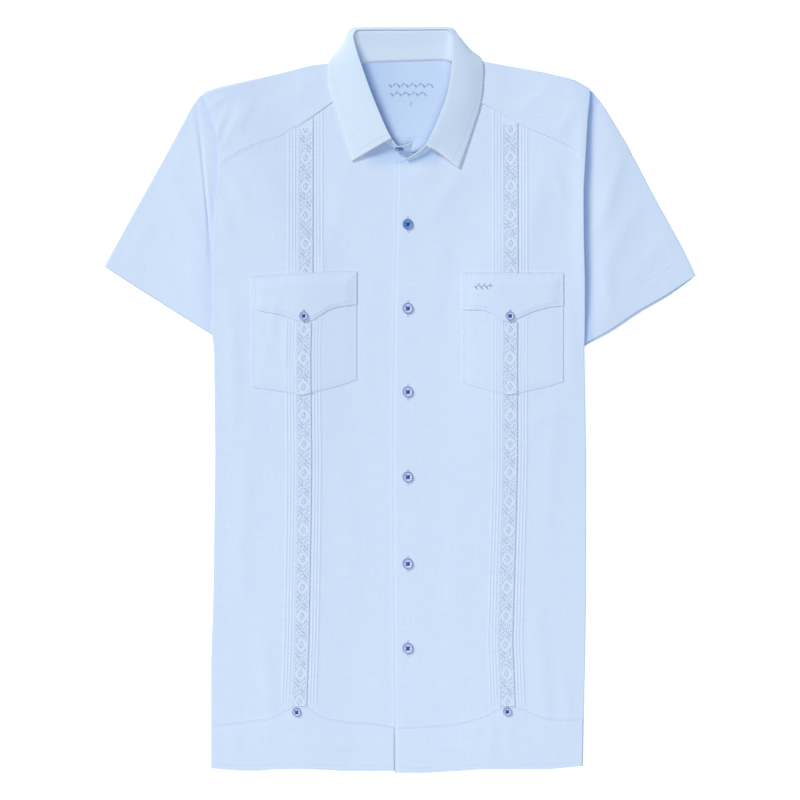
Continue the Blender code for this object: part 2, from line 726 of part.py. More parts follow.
# Half of the button's section: shares of its radius and of its thickness.
BUTTON_PROFILE = ((0, 0.72), (0.62, 0.72), (0.72, 0.95), (0.9, 1), (1, 0.72), (0.94, 0.2), (0.8, 0),
                  (0, 0))


def turned_button(name, size):
    """The profile, screwed round the Z axis."""
    points = [(share * size["radius"], 0, rise * size["thickness"]) for share, rise in BUTTON_PROFILE]
    mesh = bpy.data.meshes.new(name + "_profile")
    mesh.from_pydata(points, [(i, i + 1) for i in range(len(points) - 1)], [])
    turned = bpy.data.objects.new(name + "_profile", mesh)
    helpers.objects.link(turned)
    screw = turned.modifiers.new("turn", "SCREW")
    screw.steps = screw.render_steps = 14
    screw.use_merge_vertices = True
    screw.merge_threshold = 0.01 * MM
    return turned


def button_holes(name, size):
    """Four pins, to be cut out of the button."""
    pins = bmesh.new()
    for turn in range(4):
        angle = np.pi / 4 + turn * np.pi / 2
        made = bmesh.ops.create_cone(pins, cap_ends=True, segments=6, radius1=size["hole"],
                                     radius2=size["hole"], depth=3 * size["thickness"])
        centre = size["hole_ring"] * Vector((np.cos(angle), np.sin(angle), 0))
        bmesh.ops.translate(pins, verts=made["verts"], vec=centre)
    mesh = bpy.data.meshes.new(name + "_holes")
    pins.to_mesh(mesh)
    pins.free()
    cutter = bpy.data.objects.new(name + "_holes", mesh)
    helpers.objects.link(cutter)
    return cutter


def button_mesh(name, size):
    """A turned four-hole button with a raised rim, lying on z = 0."""
    turned, cutter = turned_button(name, size), button_holes(name, size)
    cut = turned.modifiers.new("holes", "BOOLEAN")
    cut.operation = "DIFFERENCE"
    cut.object = cutter
    bpy.context.view_layer.update()
    depsgraph = bpy.context.evaluated_depsgraph_get()
    made = bpy.data.meshes.new_from_object(turned.evaluated_get(depsgraph))
    made.name = name
    made.materials.clear()
    made.materials.append(material(name, BUTTON_BLUE, 0.3))
    made.shade_smooth()
    made.set_sharp_from_angle(angle=0.6)
    for helper in (turned, cutter):
        bpy.data.objects.remove(helper, do_unlink=True)
    return made


def place_button(name, mesh, centre, normal):
    button = bpy.data.objects.new(name, mesh)
    button.location = centre
    button.rotation_mode = "QUATERNION"
    button.rotation_quaternion = Vector(normal).to_track_quat("Z", "Y")
    shirt.objects.link(button)


def lay_button(name, mesh, side, out, y, height):
    """Puts a button on a piece that lies some height above the front, square to the cloth."""
    step = 3 * MM
    across = front_height(side, out + step, y) - front_height(side, out - step, y)
    along_y = front_height(side, out, y + step) - front_height(side, out, y - step)
    normal = Vector((-SIDES[side] * across, -along_y, 2 * step)).normalized()
    centre = Vector((SIDES[side] * out, y, front_height(side, out, y) + height))
    place_button(name, mesh, centre + normal * (CLOTH / 2 + BUTTON_SEAT), normal)


def buttons():
    front = button_mesh("front_button", FRONT_BUTTON)
    small = button_mesh("small_button", SMALL_BUTTON)
    for number, y in enumerate(FRONT_BUTTONS, 1):
        lay_button(f"button_front_{number}", front, "left", FRONT_BUTTON_X, y, 0)
    for side in SIDES:
        out, y = HEM_BUTTONS[side]
        lay_button("button_hem_" + side, small, side, out, y, LAID)
        lay_button("button_pocket_" + side, small, side, POCKET_BUTTONS[side],
                   POCKET_BUTTON_HEIGHT, FLAP_LAID)
    place_button("button_collar", small, COLLAR_BUTTON, COLLAR_BUTTON_NORMAL)


clear_scene()
shirt = new_collection("guayabera_shirt")
helpers = new_collection("cutters")
helpers.hide_render = True
fronts = {wearers_side: front_points(wearers_side) for wearers_side in SIDES}
back_panel()
yoke()
for wearers_side in SIDES:
    front_panel(wearers_side)
    hem_band(wearers_side)
    sleeve(wearers_side)
    pocket(wearers_side)
    bands(wearers_side)
collar()
buttons()
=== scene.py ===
"""A light blue guayabera shirt, buttoned and laid out flat on its back.

Metres, +Y towards the collar, +Z up out of the front. The wearer's right is at -X and the
wearer's left at +X; "out" is the distance from the centre line on either side.
"""

import bmesh
import bpy
import numpy as np
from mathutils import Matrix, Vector


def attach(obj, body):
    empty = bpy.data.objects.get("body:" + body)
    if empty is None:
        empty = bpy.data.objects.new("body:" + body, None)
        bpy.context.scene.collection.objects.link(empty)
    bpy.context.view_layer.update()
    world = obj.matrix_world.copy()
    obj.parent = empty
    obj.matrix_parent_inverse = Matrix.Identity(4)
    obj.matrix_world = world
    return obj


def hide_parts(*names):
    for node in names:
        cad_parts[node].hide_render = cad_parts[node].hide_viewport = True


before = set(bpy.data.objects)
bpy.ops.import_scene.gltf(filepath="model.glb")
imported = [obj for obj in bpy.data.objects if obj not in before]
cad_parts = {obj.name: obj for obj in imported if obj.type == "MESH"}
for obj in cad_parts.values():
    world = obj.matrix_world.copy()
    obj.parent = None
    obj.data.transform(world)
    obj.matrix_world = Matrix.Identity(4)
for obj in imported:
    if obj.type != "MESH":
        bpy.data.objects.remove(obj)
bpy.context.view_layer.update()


# ---- Back ------------------------------------------------------------------
# One flat panel of light blue chambray, cut wide: with the shirt laid out, both of its
# sides are turned in over it at the side folds and run back to the side seams. It lies on
# the table, joined to the yoke by a plain seam behind the shoulders.

MM = 0.001
SIDES = {"right": -1, "left": 1}   # which way x runs outwards
CAD_WALL = 1.0 * MM   # of the plain solids, whose underside lies on the table
LAYER = 1.3 * MM      # from one layer of cloth to the next
TURN = LAYER / 2      # radius of a pressed fold
WALL = 0.8 * MM       # cloth with its seam allowances
SEAM_BACK = 290 * MM  # height of the seam between back and yoke
BACK_HEM = -399.5 * MM


def table(columns, *rows):
    """Rows written in millimetres, as one array in metres for each column name."""
    return dict(zip(columns.split(), np.array(rows, float).T * MM))


def read(chart, key, column, at, ease=5 * MM):
    """The chart's column at a value of its key column: straight lines between its rows,
    averaged over a few millimetres each way, which eases their corners."""
    shifts = np.linspace(-ease, ease, 5)
    return np.mean([np.interp(at + shift, chart[key], chart[column]) for shift in shifts], 0)


def smooth(share):
    """0 to 1 with level ends: three times the square less twice the cube."""
    share = np.clip(share, 0, 1)
    return share * share * (3 - 2 * share)


# Distance out to each side fold, and how far the cloth runs back in from it.
EDGE = table(
    "height right left",
    (-410, 208.0, 201.0), (-285, 208.0, 203.5), (-219, 205.7, 204.6), (-60, 203.5, 204.6),
    (58, 204.6, 202.4), (73, 206.8, 203.3), (135, 206.5, 203.3), (174, 205.5, 202.2),
    (219, 204.2, 201.8), (234, 201.2, 201.9), (261, 200.2, 203.5), (287, 201.3, 205.0),
    (308, 205.7, 206.2), (335, 216.0, 209.0),
)
RETURN = table(
    "height right left",
    (134, 88, 88), (145, 64, 64), (165, 38, 38), (190, 14, 16), (219, 3, 8), (240, 3, 7),
    (262, 3, 6), (300, 3, 5), (335, 3, 3),
)


def fold_edge(side, y):
    """Distance out to the side fold at height y."""
    return read(EDGE, "height", side, y)


def turned_in(side, y):
    """How far the cloth runs back in from the side fold at height y."""
    return read(RETURN, "height", side, y, ease=1 * MM)


def over_leaf(x, y):
    """The yoke is lifted by the collar leaf that lies under it behind the neck."""
    across = smooth((118 * MM - np.abs(x)) / (16 * MM))
    return LAYER * across * smooth((y - 325 * MM) / (20 * MM))


def lines(start, stop, step):
    """Evenly spaced values about a step apart, with one more close to each end, so that the
    rounding of a cloth edge stays narrow."""
    even = np.linspace(start, stop, max(2, int(round(abs(stop - start) / step))) + 1)
    near = 0.7 * MM * np.sign(stop - start)
    return np.concatenate([[even[0], even[0] + near], even[1:-1], [even[-1] - near, even[-1]]])


def creases(x, y, rows):
    """Height of soft creases. Each row is the middle x and y, the direction in degrees, then
    length, width, height and bow in millimetres: a bell across a bowed line, times a rise
    and fall along it."""
    lift = np.zeros(np.broadcast(x, y).shape)
    for cx, cy, way, length, width, height, bow in rows:
        turn = np.radians(way)
        dx, dy = x / MM - cx, y / MM - cy
        along = (dx * np.cos(turn) + dy * np.sin(turn)) * 2 / length
        across = dy * np.cos(turn) - dx * np.sin(turn) - bow * (1 - along ** 2)
        lift += height * MM * np.exp(-(across / width) ** 2) * np.clip(1 - along ** 2, 0, 1) ** 1.3
    return lift


def side_fold(side, y, z, towards, follow=None):
    """Columns round a side fold and back in to the seam: half a circle from the wall at
    height z to the next layer, above it (towards = 1) or below it (-1), then straight in,
    level or a layer away from the surface that it follows."""
    centre = (fold_edge(side, y) - TURN - CAD_WALL / 2)[:, None]
    seam = (fold_edge(side, y) - turned_in(side, y))[:, None]
    angle = np.linspace(np.pi / 2, -np.pi / 2, 9)[1:]
    share = lines(0, 1, 0.1)[1:]
    out = np.hstack([centre + TURN * np.cos(angle), centre + share * (seam - centre)])
    rise = np.hstack([TURN * (1 - np.sin(angle)), np.full(len(share), LAYER)])
    z = z[:, None] + towards * rise
    if follow:
        z[:, len(angle):] = follow(side, out[:, len(angle):], y[:, None]) + towards * LAYER
    return np.stack([SIDES[side] * out, np.broadcast_to(y[:, None], out.shape), z], -1)


def placed(name, mesh, finish):
    """Puts a mesh in the scene as a smooth-shaded piece of the fixed body."""
    mesh.materials.append(finish)
    mesh.shade_smooth()
    piece = bpy.data.objects.new(name, mesh)
    bpy.context.scene.collection.objects.link(piece)
    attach(piece, "root")
    return piece


def shell(name, points, finish, nodes, wall=WALL, ring=False, keep=None):
    """A thin wall of cloth through a grid of points (rows, columns, xyz), closed round its
    columns for a ring. Its UV map, in metres, is the length of cloth from the grid's first
    row and first column."""
    rows, columns = points.shape[:2]
    index, path = np.arange(rows * columns).reshape(rows, columns), points
    if ring:
        index, path = np.hstack([index, index[:, :1]]), np.hstack([path, path[:, :1]])
    u = np.linalg.norm(np.diff(path, axis=1, prepend=path[:, :1]), axis=2).cumsum(1)
    v = np.linalg.norm(np.diff(path, axis=0, prepend=path[:1]), axis=2).cumsum(0)
    corner = [np.s_[:-1, :-1], np.s_[:-1, 1:], np.s_[1:, 1:], np.s_[1:, :-1]]
    quads = np.stack([index[c] for c in corner], 2)
    uv = np.stack([np.stack([u[c], v[c]], -1) for c in corner], 2)
    keep = np.ones(quads.shape[:2], bool) if keep is None else keep
    used, numbers = np.unique(quads[keep], return_inverse=True)
    mesh = bpy.data.meshes.new(name)
    mesh.from_pydata(points.reshape(-1, 3)[used].tolist(), [], numbers.reshape(-1, 4).tolist())
    mesh.uv_layers.new(name="cloth").data.foreach_set("uv", uv[keep].ravel())
    piece = placed(name, mesh, finish)
    thick = piece.modifiers.new("wall", "SOLIDIFY")
    thick.thickness, thick.offset = wall, 0
    thick.use_even_offset = thick.use_quality_normals = True
    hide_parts(*nodes)
    return piece


def paint(code):
    """A colour written as sRGB hex, in linear light with an alpha of 1."""
    srgb = np.array([int(code[i : i + 2], 16) for i in (0, 2, 4)]) / 255
    return (*np.where(srgb <= 0.04045, srgb / 12.92, ((srgb + 0.055) / 1.055) ** 2.4), 1)


def node(tree, kind, inputs=None, **settings):
    """Adds a node with its settings. An input is given a value, or another node's output."""
    made = tree.nodes.new(kind)
    for name, value in settings.items():
        setattr(made, name, value)
    for name, value in (inputs or {}).items():
        if isinstance(value, bpy.types.NodeSocket):
            tree.links.new(value, made.inputs[name])
        else:
            made.inputs[name].default_value = value
    return made


def new_finish(name):
    """A material with nodes: the material, its tree, and the shader that it starts with."""
    finish = bpy.data.materials.new(name)
    finish.use_nodes = True
    return finish, finish.node_tree, finish.node_tree.nodes["Principled BSDF"]


# Size of a slub in millimetres across and along the cloth, and the noise's detail. Real
# yarns are 0.4 mm apart, too fine to show, so both are drawn about 1.4 mm wide.
YARNS = {"warp": (1.3, 26, 2), "weft": (34, 1.5, 2), "streak": (5, 260, 3)}


def chambray(name, base, pale, deep, bump=0.2):
    """Plain-weave chambray of linen and cotton: blue warp and white weft, matt and a little
    hairy. The slubs of both yarns are noise drawn out along the yarn, and long faint
    streaks are the uneven dyeing of the warp. Where an attribute says so, turned edges
    show more of the white weft with a painted highlight over it, and painted shade makes
    shut-in places a deeper blue."""
    finish, tree, shader = new_finish(name)
    at = node(tree, "ShaderNodeUVMap", uv_map="cloth").outputs[0]
    slubs = {}
    for yarn, (across, along, detail) in YARNS.items():
        drawn_out = node(tree, "ShaderNodeMapping", {"Vector": at, "Scale": (
            1000 / across, 1000 / along, 1)}).outputs[0]
        slubs[yarn] = node(tree, "ShaderNodeTexNoise", {"Vector": drawn_out, "Scale": 1.0,
                           "Detail": detail, "Roughness": 0.6}).outputs[0]
    weave = node(tree, "ShaderNodeMath", {0: slubs["warp"], 1: slubs["weft"]},
                 operation="ADD").outputs[0]
    light = node(tree, "ShaderNodeMapRange", {"Value": weave, "From Min": 0.6,
                                              "From Max": 1.4}).outputs[0]
    drift = node(tree, "ShaderNodeMapRange", {"Value": slubs["streak"], "From Min": 0.3,
                 "From Max": 0.7, "To Min": 0.0, "To Max": 0.35}).outputs[0]
    cloth = node(tree, "ShaderNodeMix", {"Factor": light, "A": paint(deep), "B": paint(pale)},
                 data_type="RGBA")
    dyed = node(tree, "ShaderNodeMix", {"Factor": drift, "A": cloth.outputs[2],
                                        "B": paint(base)}, data_type="RGBA")
    # Painted shade: where the "inside" attribute says so, a deeper blue (9FBEEA) stands in for shadow.
    inside = node(tree, "ShaderNodeAttribute", attribute_name="inside").outputs["Fac"]
    painted_shade_tint = node(tree, "ShaderNodeMix", {"Factor": inside, "A": dyed.outputs[2],
                                           "B": paint("9FBEEA")}, data_type="RGBA")
    # Painted highlight, together with the white weft of a turned edge: where the "edge" attribute says so, a
    # paler colour (E4ECF4).
    weft_and_painted_highlight = node(tree, "ShaderNodeAttribute", attribute_name="edge").outputs["Fac"]
    whole = node(tree, "ShaderNodeMix", {"Factor": weft_and_painted_highlight, "A": painted_shade_tint.outputs[2],
                                         "B": paint("E4ECF4")}, data_type="RGBA")
    tree.links.new(whole.outputs[2], shader.inputs["Base Color"])
    relief = node(tree, "ShaderNodeBump", {"Height": weave, "Strength": bump, "Distance": 0.12 * MM})
    tree.links.new(relief.outputs[0], shader.inputs["Normal"])
    shader.inputs["Roughness"].default_value = 0.88
    shader.inputs["IOR"].default_value = 1.47
    shader.inputs["Specular IOR Level"].default_value = 0.25
    shader.inputs["Sheen Weight"].default_value = 0.06
    shader.inputs["Sheen Roughness"].default_value = 0.5
    return finish


def mark(piece, name, values):
    """Stores a number for each point of a piece's mesh, for its material to read."""
    marks = piece.data.attributes.new(name, "FLOAT", "POINT")
    marks.data.foreach_set("value", np.ravel(values))


def places(piece):
    """The x, y and z of a piece's points."""
    points = np.empty(len(piece.data.vertices) * 3)
    piece.data.vertices.foreach_get("co", points)
    return points.reshape(-1, 3).T


def mark_neck_painted_shade(piece):
    """Marks painted shade on the cloth seen through the neck, which the collar shuts off from
    most of the light: low cloth above the collar's opening, near the middle, and more of it
    towards the wearer's right, each an eased step. The material draws it as a deeper blue."""
    x, y, z = places(piece)
    across = smooth((64 * MM - np.abs(x - 6 * MM)) / (8 * MM))
    within = across * smooth((y - 262 * MM) / (6 * MM)) * smooth((3.5 * MM - z) / MM)
    mark(piece, "inside", within * (0.34 + 0.3 * smooth((14 * MM - x) / (50 * MM))))


body_cloth = chambray("chambray_body", base="CCDDF2", pale="D1E1F4", deep="C7D8F0")

# Soft creases of the hidden back, as the function creases takes them.
BACK_CREASES = (
    (-60, -150, 84, 300, 16, 0.35, 5), (70, 40, 96, 260, 12, 0.3, -4),
    (10, -280, 35, 180, 14, 0.35, 6), (-120, 180, 60, 140, 10, 0.3, 3),
    (130, -210, 112, 220, 18, 0.3, -6),
)

y = lines(BACK_HEM, SEAM_BACK - 0.1 * MM, 9 * MM)
flat = np.full(len(y), CAD_WALL / 2)
right, left = side_fold("right", y, flat, 1), side_fold("left", y, flat, 1)
share = lines(0, 1, 0.025)[None, :, None]
inner_right = np.stack([-(fold_edge("right", y) - TURN - CAD_WALL / 2), y, flat], -1)[:, None]
inner_left = np.stack([fold_edge("left", y) - TURN - CAD_WALL / 2, y, flat], -1)[:, None]
middle = inner_right + share * (inner_left - inner_right)
middle[..., 2] += creases(middle[..., 0], middle[..., 1], BACK_CREASES)
back = shell("back_panel", np.concatenate([right[:, ::-1], middle, left], 1), body_cloth,
             ["back"])
mark_neck_painted_shade(back)


# ---- Fronts ------------------------------------------------------------------
# Two panels of the same chambray, from the yoke seam to the hem. The wearer's left laps
# over the right and carries the buttonholes. Three pintucks are sewn up each side of the
# embroidered band. The outer sides are turned in at the side folds, on top of the sleeve.

LAPPED = {"right": 0, "left": 1}   # 1 for the front that lies over the other
TUCK_IN = 88 * MM          # the cloth turned in at the sides
RAMP = 75 * MM             # from the side stack down to the plain front
TUCKS = np.array([-18.4, -14.9, -11.6, 11.6, 14.9, 18.4]) * MM   # out from the band's middle
TUCK_HALF = 1.1 * MM
TUCK_RISE = 0.4 * MM
BAND_REACH = 21 * MM       # half the width that shifts with the band
BAND_ROW = 4               # the row of BAND that column places are measured at
LAST_PLACE = 205 * MM      # the column place that lies on the side fold

# Distance out to the middle of the embroidered band, and to the front's edge at the opening.
# Below zero it is past the centre line.
BAND = table(
    "height right left",
    (-410, 112.0, 119.0), (-336, 111.0, 118.3), (-263, 108.5, 115.5), (-120, 106.0, 119.4),
    (-60, 105.5, 120.8), (50, 106.5, 120.5), (143, 104.0, 121.3), (320, 104.0, 121.3),
)
OPENING = table(
    "height right left",
    (-410, -22, -5.5), (-250, -22, -7.4), (-100, -22, -8.6), (0, -22, -8.2), (90, -22, -7.0),
    (190, -22, -5.0), (270, -22, -4.0),
)
# Heights of each front's lower and upper edges.
HEM = {
    "right": table("out height", (-22, -407), (10, -407), (63, -407), (87, -405.4),
                   (108, -404.4), (142, -404.8), (150, -406.3), (178, -406.3), (207, -403.7)),
    "left": table("out height", (-4, -408.9), (29, -408.9), (66, -406.6), (89, -404.8),
                  (163, -404.8), (201, -401.1)),
}
FRONT_TOP = {
    "right": table("out height", (-22, 272), (-10, 274), (10, 281), (30, 299), (46, 322),
                   (52, 344), (74, 329), (92.5, 314.8), (115.5, 299.6), (145, 286.2),
                   (170, 276.1), (188, 265), (206, 253)),
    "left": table("out height", (-4, 261.5), (18, 267), (36, 279), (52, 300), (61, 322),
                  (64, 342), (74, 336.6), (109.8, 317.2), (132.8, 303.4), (145, 298.2),
                  (170, 287.8), (188, 279), (206, 262)),
}
# The stitched line up the opening: how far in from the edge, half its width, its depth.
GROOVE = (1.4 * MM, 0.8 * MM, 0.45 * MM)

# Soft creases of each front, with x counted outwards.
FRONT_CREASES = {
    "right": ((137, 84, 97, 62, 4, 0.7, -3), (127, 66, 92, 64, 4, 0.6, 2),
              (186, 40, 88, 210, 7, 0.99, 3), (168, -120, 93, 260, 9, 0.81, -4),
              (150, -300, 84, 150, 8, 0.9, 4), (60, -150, 87, 240, 14, 0.63, 5),
              (34, 60, 94, 200, 10, 0.54, -3), (176, 225, 60, 70, 6, 1.1, 2),
              (190, 195, 75, 60, 5, 0.9, -2), (72, 205, 99, 150, 9, 0.54, 3),
              (140, 235, 42, 60, 7, 0.72, 2), (24, 262, 24, 44, 5, 0.9, -2),
              (80, -378, 4, 90, 7, 0.63, 2), (182, -378, 85, 52, 6, 0.72, 0)),
    "left": ((101, -376, 88, 58, 4, 0.6, 2), (120, -374, 93, 50, 4.5, 0.5, -1),
             (202, 205, 90, 330, 10, 3.2, 0), (184, 90, 92, 190, 7, 0.9, -3),
             (170, -70, 86, 230, 9, 0.72, 4),
             (152, -290, 96, 170, 8, 0.9, -4), (58, -200, 92, 230, 14, 0.63, -5),
             (45, 130, 86, 180, 10, 0.54, 3), (178, 232, 110, 60, 6, 0.9, 2),
             (52, 222, 55, 90, 8, 0.81, 4), (26, 248, -8, 40, 5, 0.9, 2),
             (150, 205, 80, 110, 9, 0.63, 2), (160, -20, 25, 60, 7, 0.63, 2),
             (70, -385, 176, 100, 7, 0.63, -2), (183, -330, 95, 90, 6, 0.72, 0)),
}


def front_top(side, out):
    """Height of the front's upper edge, at the neck and at the yoke seam."""
    return read(FRONT_TOP[side], "out", "height", out, ease=7 * MM)


def sleeve_share(y):
    """1 where the sleeve lies in the side stack, 0 below it."""
    return smooth((y + 110 * MM) / (146 * MM))


def side_share(side, out, y):
    """1 over the side stack of turned-in cloth, falling to 0 over a ramp to the centre."""
    width = 2 * MM + np.interp(y, [134 * MM, 270 * MM], [TUCK_IN, 18 * MM])
    return smooth((out - fold_edge(side, y) + width + RAMP) / RAMP)


def front_height(side, out, y):
    """Middle of a plain front, counted in layers above the back: 1, or 2 on the lapped
    front, and over the side stack 3, or 5 where the sleeve lies in it."""
    share = side_share(side, out, y)
    layers = 1 + LAPPED[side] * (1 - share) + share * (2 + 2 * sleeve_share(y))
    return CAD_WALL / 2 + LAYER * layers + over_leaf(out, y)


def tucks(side, out, y):
    """Pintucks: ridges beside the band, each the arch of a cosine, to the power of 1.5. They
    end at the hem band."""
    off = np.abs((out - read(BAND, "height", side, y))[..., None] - TUCKS) / TUCK_HALF
    ridge = np.cos(np.clip(off, 0, 1) * np.pi / 2).sum(-1) ** 1.5
    return TUCK_RISE * ridge * smooth((y + 336 * MM) / (8 * MM))


def untucked(side, out, y):
    """Middle of the front with its creases and the stitched line, a bell-shaped groove."""
    crease = creases(out, y, FRONT_CREASES[side]) * smooth((y + 409 * MM) / (6 * MM))
    inset, half, deep = GROOVE
    off = (out - read(OPENING, "height", side, y) - inset) / half
    groove = LAPPED[side] * deep * np.exp(-off ** 2)
    return front_height(side, out, y) + crease - groove


def front_outs(side, s, y):
    """Distances out at heights y (rows) for the column places s: places within reach of the
    band move with it, and the rest spread evenly to the opening and to the side fold."""
    band, home = read(BAND, "height", side, y), BAND[side][BAND_ROW]
    inner, edge = read(OPENING, "height", side, y), fold_edge(side, y) - TURN - CAD_WALL / 2
    knots = np.stack([inner, band - BAND_REACH, band + BAND_REACH, edge], -1)
    at = [OPENING[side][0], home - BAND_REACH, home + BAND_REACH, LAST_PLACE]
    return np.stack([np.interp(s, at, row) for row in knots])


def front_places(side, first, last, step=5 * MM):
    """Column places from first to last: fine over each tuck and open between them."""
    home = BAND[side][BAND_ROW]
    over = (TUCKS[:, None] + np.array([-1.15, -0.75, -0.38, 0, 0.38, 0.75, 1.15]) * MM).ravel()
    near = home + np.concatenate([[-BAND_REACH], over, np.linspace(-9, 9, 9) * MM, [BAND_REACH]])
    plain = lines(first, last, step)
    plain = plain[(plain < home - BAND_REACH - MM) | (plain > home + BAND_REACH + MM)]
    edge = first + np.array([1.05, 1.4, 1.75, 2.3]) * MM
    return np.unique(np.concatenate([near[(near > first + MM) & (near < last - MM)], plain, edge]))


for side in SIDES:
    s = front_places(side, OPENING[side][0], LAST_PLACE)
    t = lines(0, 1, 0.0062)[:, None]
    end = float(front_top(side, fold_edge(side, 258 * MM)))
    rough = BACK_HEM + t[:, 0] * (end - BACK_HEM)
    out = front_outs(side, s, rough)
    low = read(HEM[side], "out", "height", out[:1])
    high = front_top(side, out[-1:]) - 0.1 * MM
    y = low + t * (high - low)
    z = untucked(side, out, y) + tucks(side, out, y)
    grid = np.stack([SIDES[side] * out, y, z], -1)
    folded = side_fold(side, y[:, -1], z[:, -1], -1, follow=untucked)
    panel = shell(f"front_panel_{side}", np.concatenate([grid, folded], 1), body_cloth,
                  [f"front_{side}"])
    # Painted shadow under the collar leaf's points: the front near the neck is marked for a deeper blue.
    x, y = places(panel)[:2]
    painted_shadow_under_points = smooth((y - 256 * MM) / (10 * MM))
    painted_shadow_under_points *= smooth((50 * MM - np.abs(x - 4 * MM)) / (16 * MM))
    mark(panel, "inside", 0.5 * painted_shadow_under_points)


# ---- Yoke --------------------------------------------------------------------
# One piece over both shoulders, sewn to the fronts below the shoulder line and to the back
# behind it. It is folded at the shoulders, and at the armholes its edge is turned in to
# the sleeve seam. Behind the neck it rests on the collar leaf.

# Height of the shoulder's outline.
SHOULDER = table(
    "out right left",
    (0, 376, 377), (78, 371.5, 374.5), (93.5, 369.6, 373.3), (122, 361.9, 368.0),
    (152, 354.2, 362.4), (188, 345.4, 354.0), (205, 339.5, 343.9), (217, 335.0, 336.0),
)
BACK_NECK = 375 * MM       # height of the neck seam at the back
NECK_ROW = 5               # the row of FRONT_TOP where the yoke seam meets the neck
YOKE_LAP = 0.9 * MM        # the yoke's turned-under edge lies over the top of the front
# How far the seam allowance lifts the yoke along its front edge, and the edge's own lip.
YOKE_LIFT = {"right": (0.12 * MM, 0.06 * MM), "left": (0.4 * MM, 0.45 * MM)}
# Soft creases of each half of the yoke, with x counted outwards.
YOKE_CREASES = {
    "right": ((184, 308, 112, 70, 3.5, 1.0, 3), (196, 300, 108, 60, 3, 1.2, -2),
              (170, 312, 112, 54, 4, 1, -2), (200, 330, 140, 26, 2.5, 1.0, 1), (120, 338, 165, 70, 8, 0.6, 3),
              (150, 300, 20, 70, 7, 0.52, 2), (98, 352, 172, 40, 5, 0.6, 0)),
    "left": ((202, 205, 90, 330, 10, 3.2, 0), (184, 316, 62, 60, 6, 0.9, -3),
             (150, 330, 40, 60, 7, 0.6, 2),
             (192, 340, 30, 26, 3.5, 0.9, 0), (112, 350, 165, 70, 7, 0.6, 3),
             (128, 322, 155, 60, 8, 0.45, -2)),
}


def back_height_at(out):
    """Middle of the yoke's back wall under the shoulder fold."""
    return CAD_WALL / 2 + over_leaf(out, 345 * MM)


def yoke_half(side, s, fronts=26, turns=8, backs=16):
    """Rows of the yoke from the front seam, round half a circle at the shoulder and down to
    the back seam, for the column places s. Places past the last plain one go round the
    armhole fold, where the rows lie inside the outer ones by the depth of the fold."""
    plain = s[s <= 1]
    angle = np.linspace(np.pi / 2, -np.pi / 2, 9)[1:]
    inside = np.concatenate([np.zeros(len(plain)), TURN * (1 - np.sin(angle)), [LAYER, LAYER]])
    bulge = np.concatenate([np.zeros(len(plain)), TURN * np.cos(angle), [0, 0]])
    reach = np.concatenate([plain, np.ones(len(angle)), [1, 1]])
    back_in = np.concatenate([np.zeros(len(plain) + len(angle)), [0.5, 1]])

    def out_at(y):
        """Distances out at heights y: an even share of the way from the neck to the armhole
        fold, then round the fold and back in."""
        fold = fold_edge(side, y) - TURN - CAD_WALL / 2
        start = FRONT_TOP[side]["out"][NECK_ROW]
        straight = start + (fold - start) * reach
        return straight + bulge - back_in * (turned_in(side, y) - TURN - CAD_WALL / 2)

    out = out_at(np.full(len(reach), 300 * MM))
    seam = front_top(side, np.minimum(out_at(262 * MM), 203 * MM))
    high, low = front_height(side, out, 332 * MM), back_height_at(out)
    radius = (high - low) / 2
    line = read(SHOULDER, "out", side, out) - radius - CAD_WALL / 2
    share = (lines(0, 1, 1 / fronts))[:, None]
    front_y = seam - YOKE_LAP + share * (line - seam + YOKE_LAP)
    turn = np.linspace(np.pi / 2, -np.pi / 2, turns + 2)[1:-1, None]
    share_back = lines(0, 1, 1 / backs)[:, None]
    back_y = line - 0.05 * MM + share_back * (SEAM_BACK + 0.1 * MM - line)
    out_front = np.stack([out_at(row) for row in front_y])
    blend = smooth((front_y - 318 * MM) / (14 * MM))
    front_z = (1 - blend) * front_height(side, out_front, front_y) + blend * high
    front_z = front_z + creases(out_front, front_y, YOKE_CREASES[side]) * smooth((1 - share) * 6)
    over, lip = YOKE_LIFT[side]
    front_z = front_z + over * smooth((9 * MM - (front_y - seam)) / (3 * MM))
    front_z = front_z + lip * smooth((2 * MM - (front_y - seam)) / (1.6 * MM))
    turn_y = line + (radius - inside) * np.cos(turn)
    turn_z = (high + low) / 2 + (radius - inside) * np.sin(turn)
    out_turn = np.stack([out_at(row) for row in np.broadcast_to(line, turn_y.shape)])
    out_back = np.stack([out_at(row) for row in back_y])
    back_z = CAD_WALL / 2 + over_leaf(out_back, back_y) + inside
    y = np.concatenate([front_y, turn_y, back_y])
    z = np.concatenate([front_z - inside, turn_z, back_z])
    out = np.concatenate([out_front, out_turn, out_back])
    return np.stack([SIDES[side] * out, y, z], -1), len(front_y) + len(turn_y)


half_places = np.concatenate([np.linspace(0, 1, 40), [2.0]])
right, above = yoke_half("right", half_places)
left, above = yoke_half("left", half_places)
neck_x = lines(-44 * MM, 56 * MM, 7 * MM)
share = lines(0, 1, 1 / 16)
neck_y = np.concatenate([np.full(above, BACK_NECK),
                         BACK_NECK + share * (SEAM_BACK + 0.1 * MM - BACK_NECK)])
neck_z = CAD_WALL / 2 + over_leaf(neck_x[None], neck_y[:, None])
neck = np.stack(np.broadcast_arrays(neck_x[None], neck_y[:, None], neck_z), -1)
grid = np.concatenate([right[:, ::-1], neck, left], 1)
keep = np.ones((grid.shape[0] - 1, grid.shape[1] - 1), bool)
keep[:above, right.shape[1] - 1 : right.shape[1] + len(neck_x)] = False
yoke = shell("yoke_over_shoulders", grid, body_cloth, ["yoke"], keep=keep)
mark_neck_painted_shade(yoke)


# ---- Sleeves -----------------------------------------------------------------
# Short set-in sleeves of the same chambray, each one piece closed by the underarm seam and
# pressed flat. They lie on the table and slip into the side stack under the body. The
# cuff is a plain hem, turned up and stitched an inch above its edge.

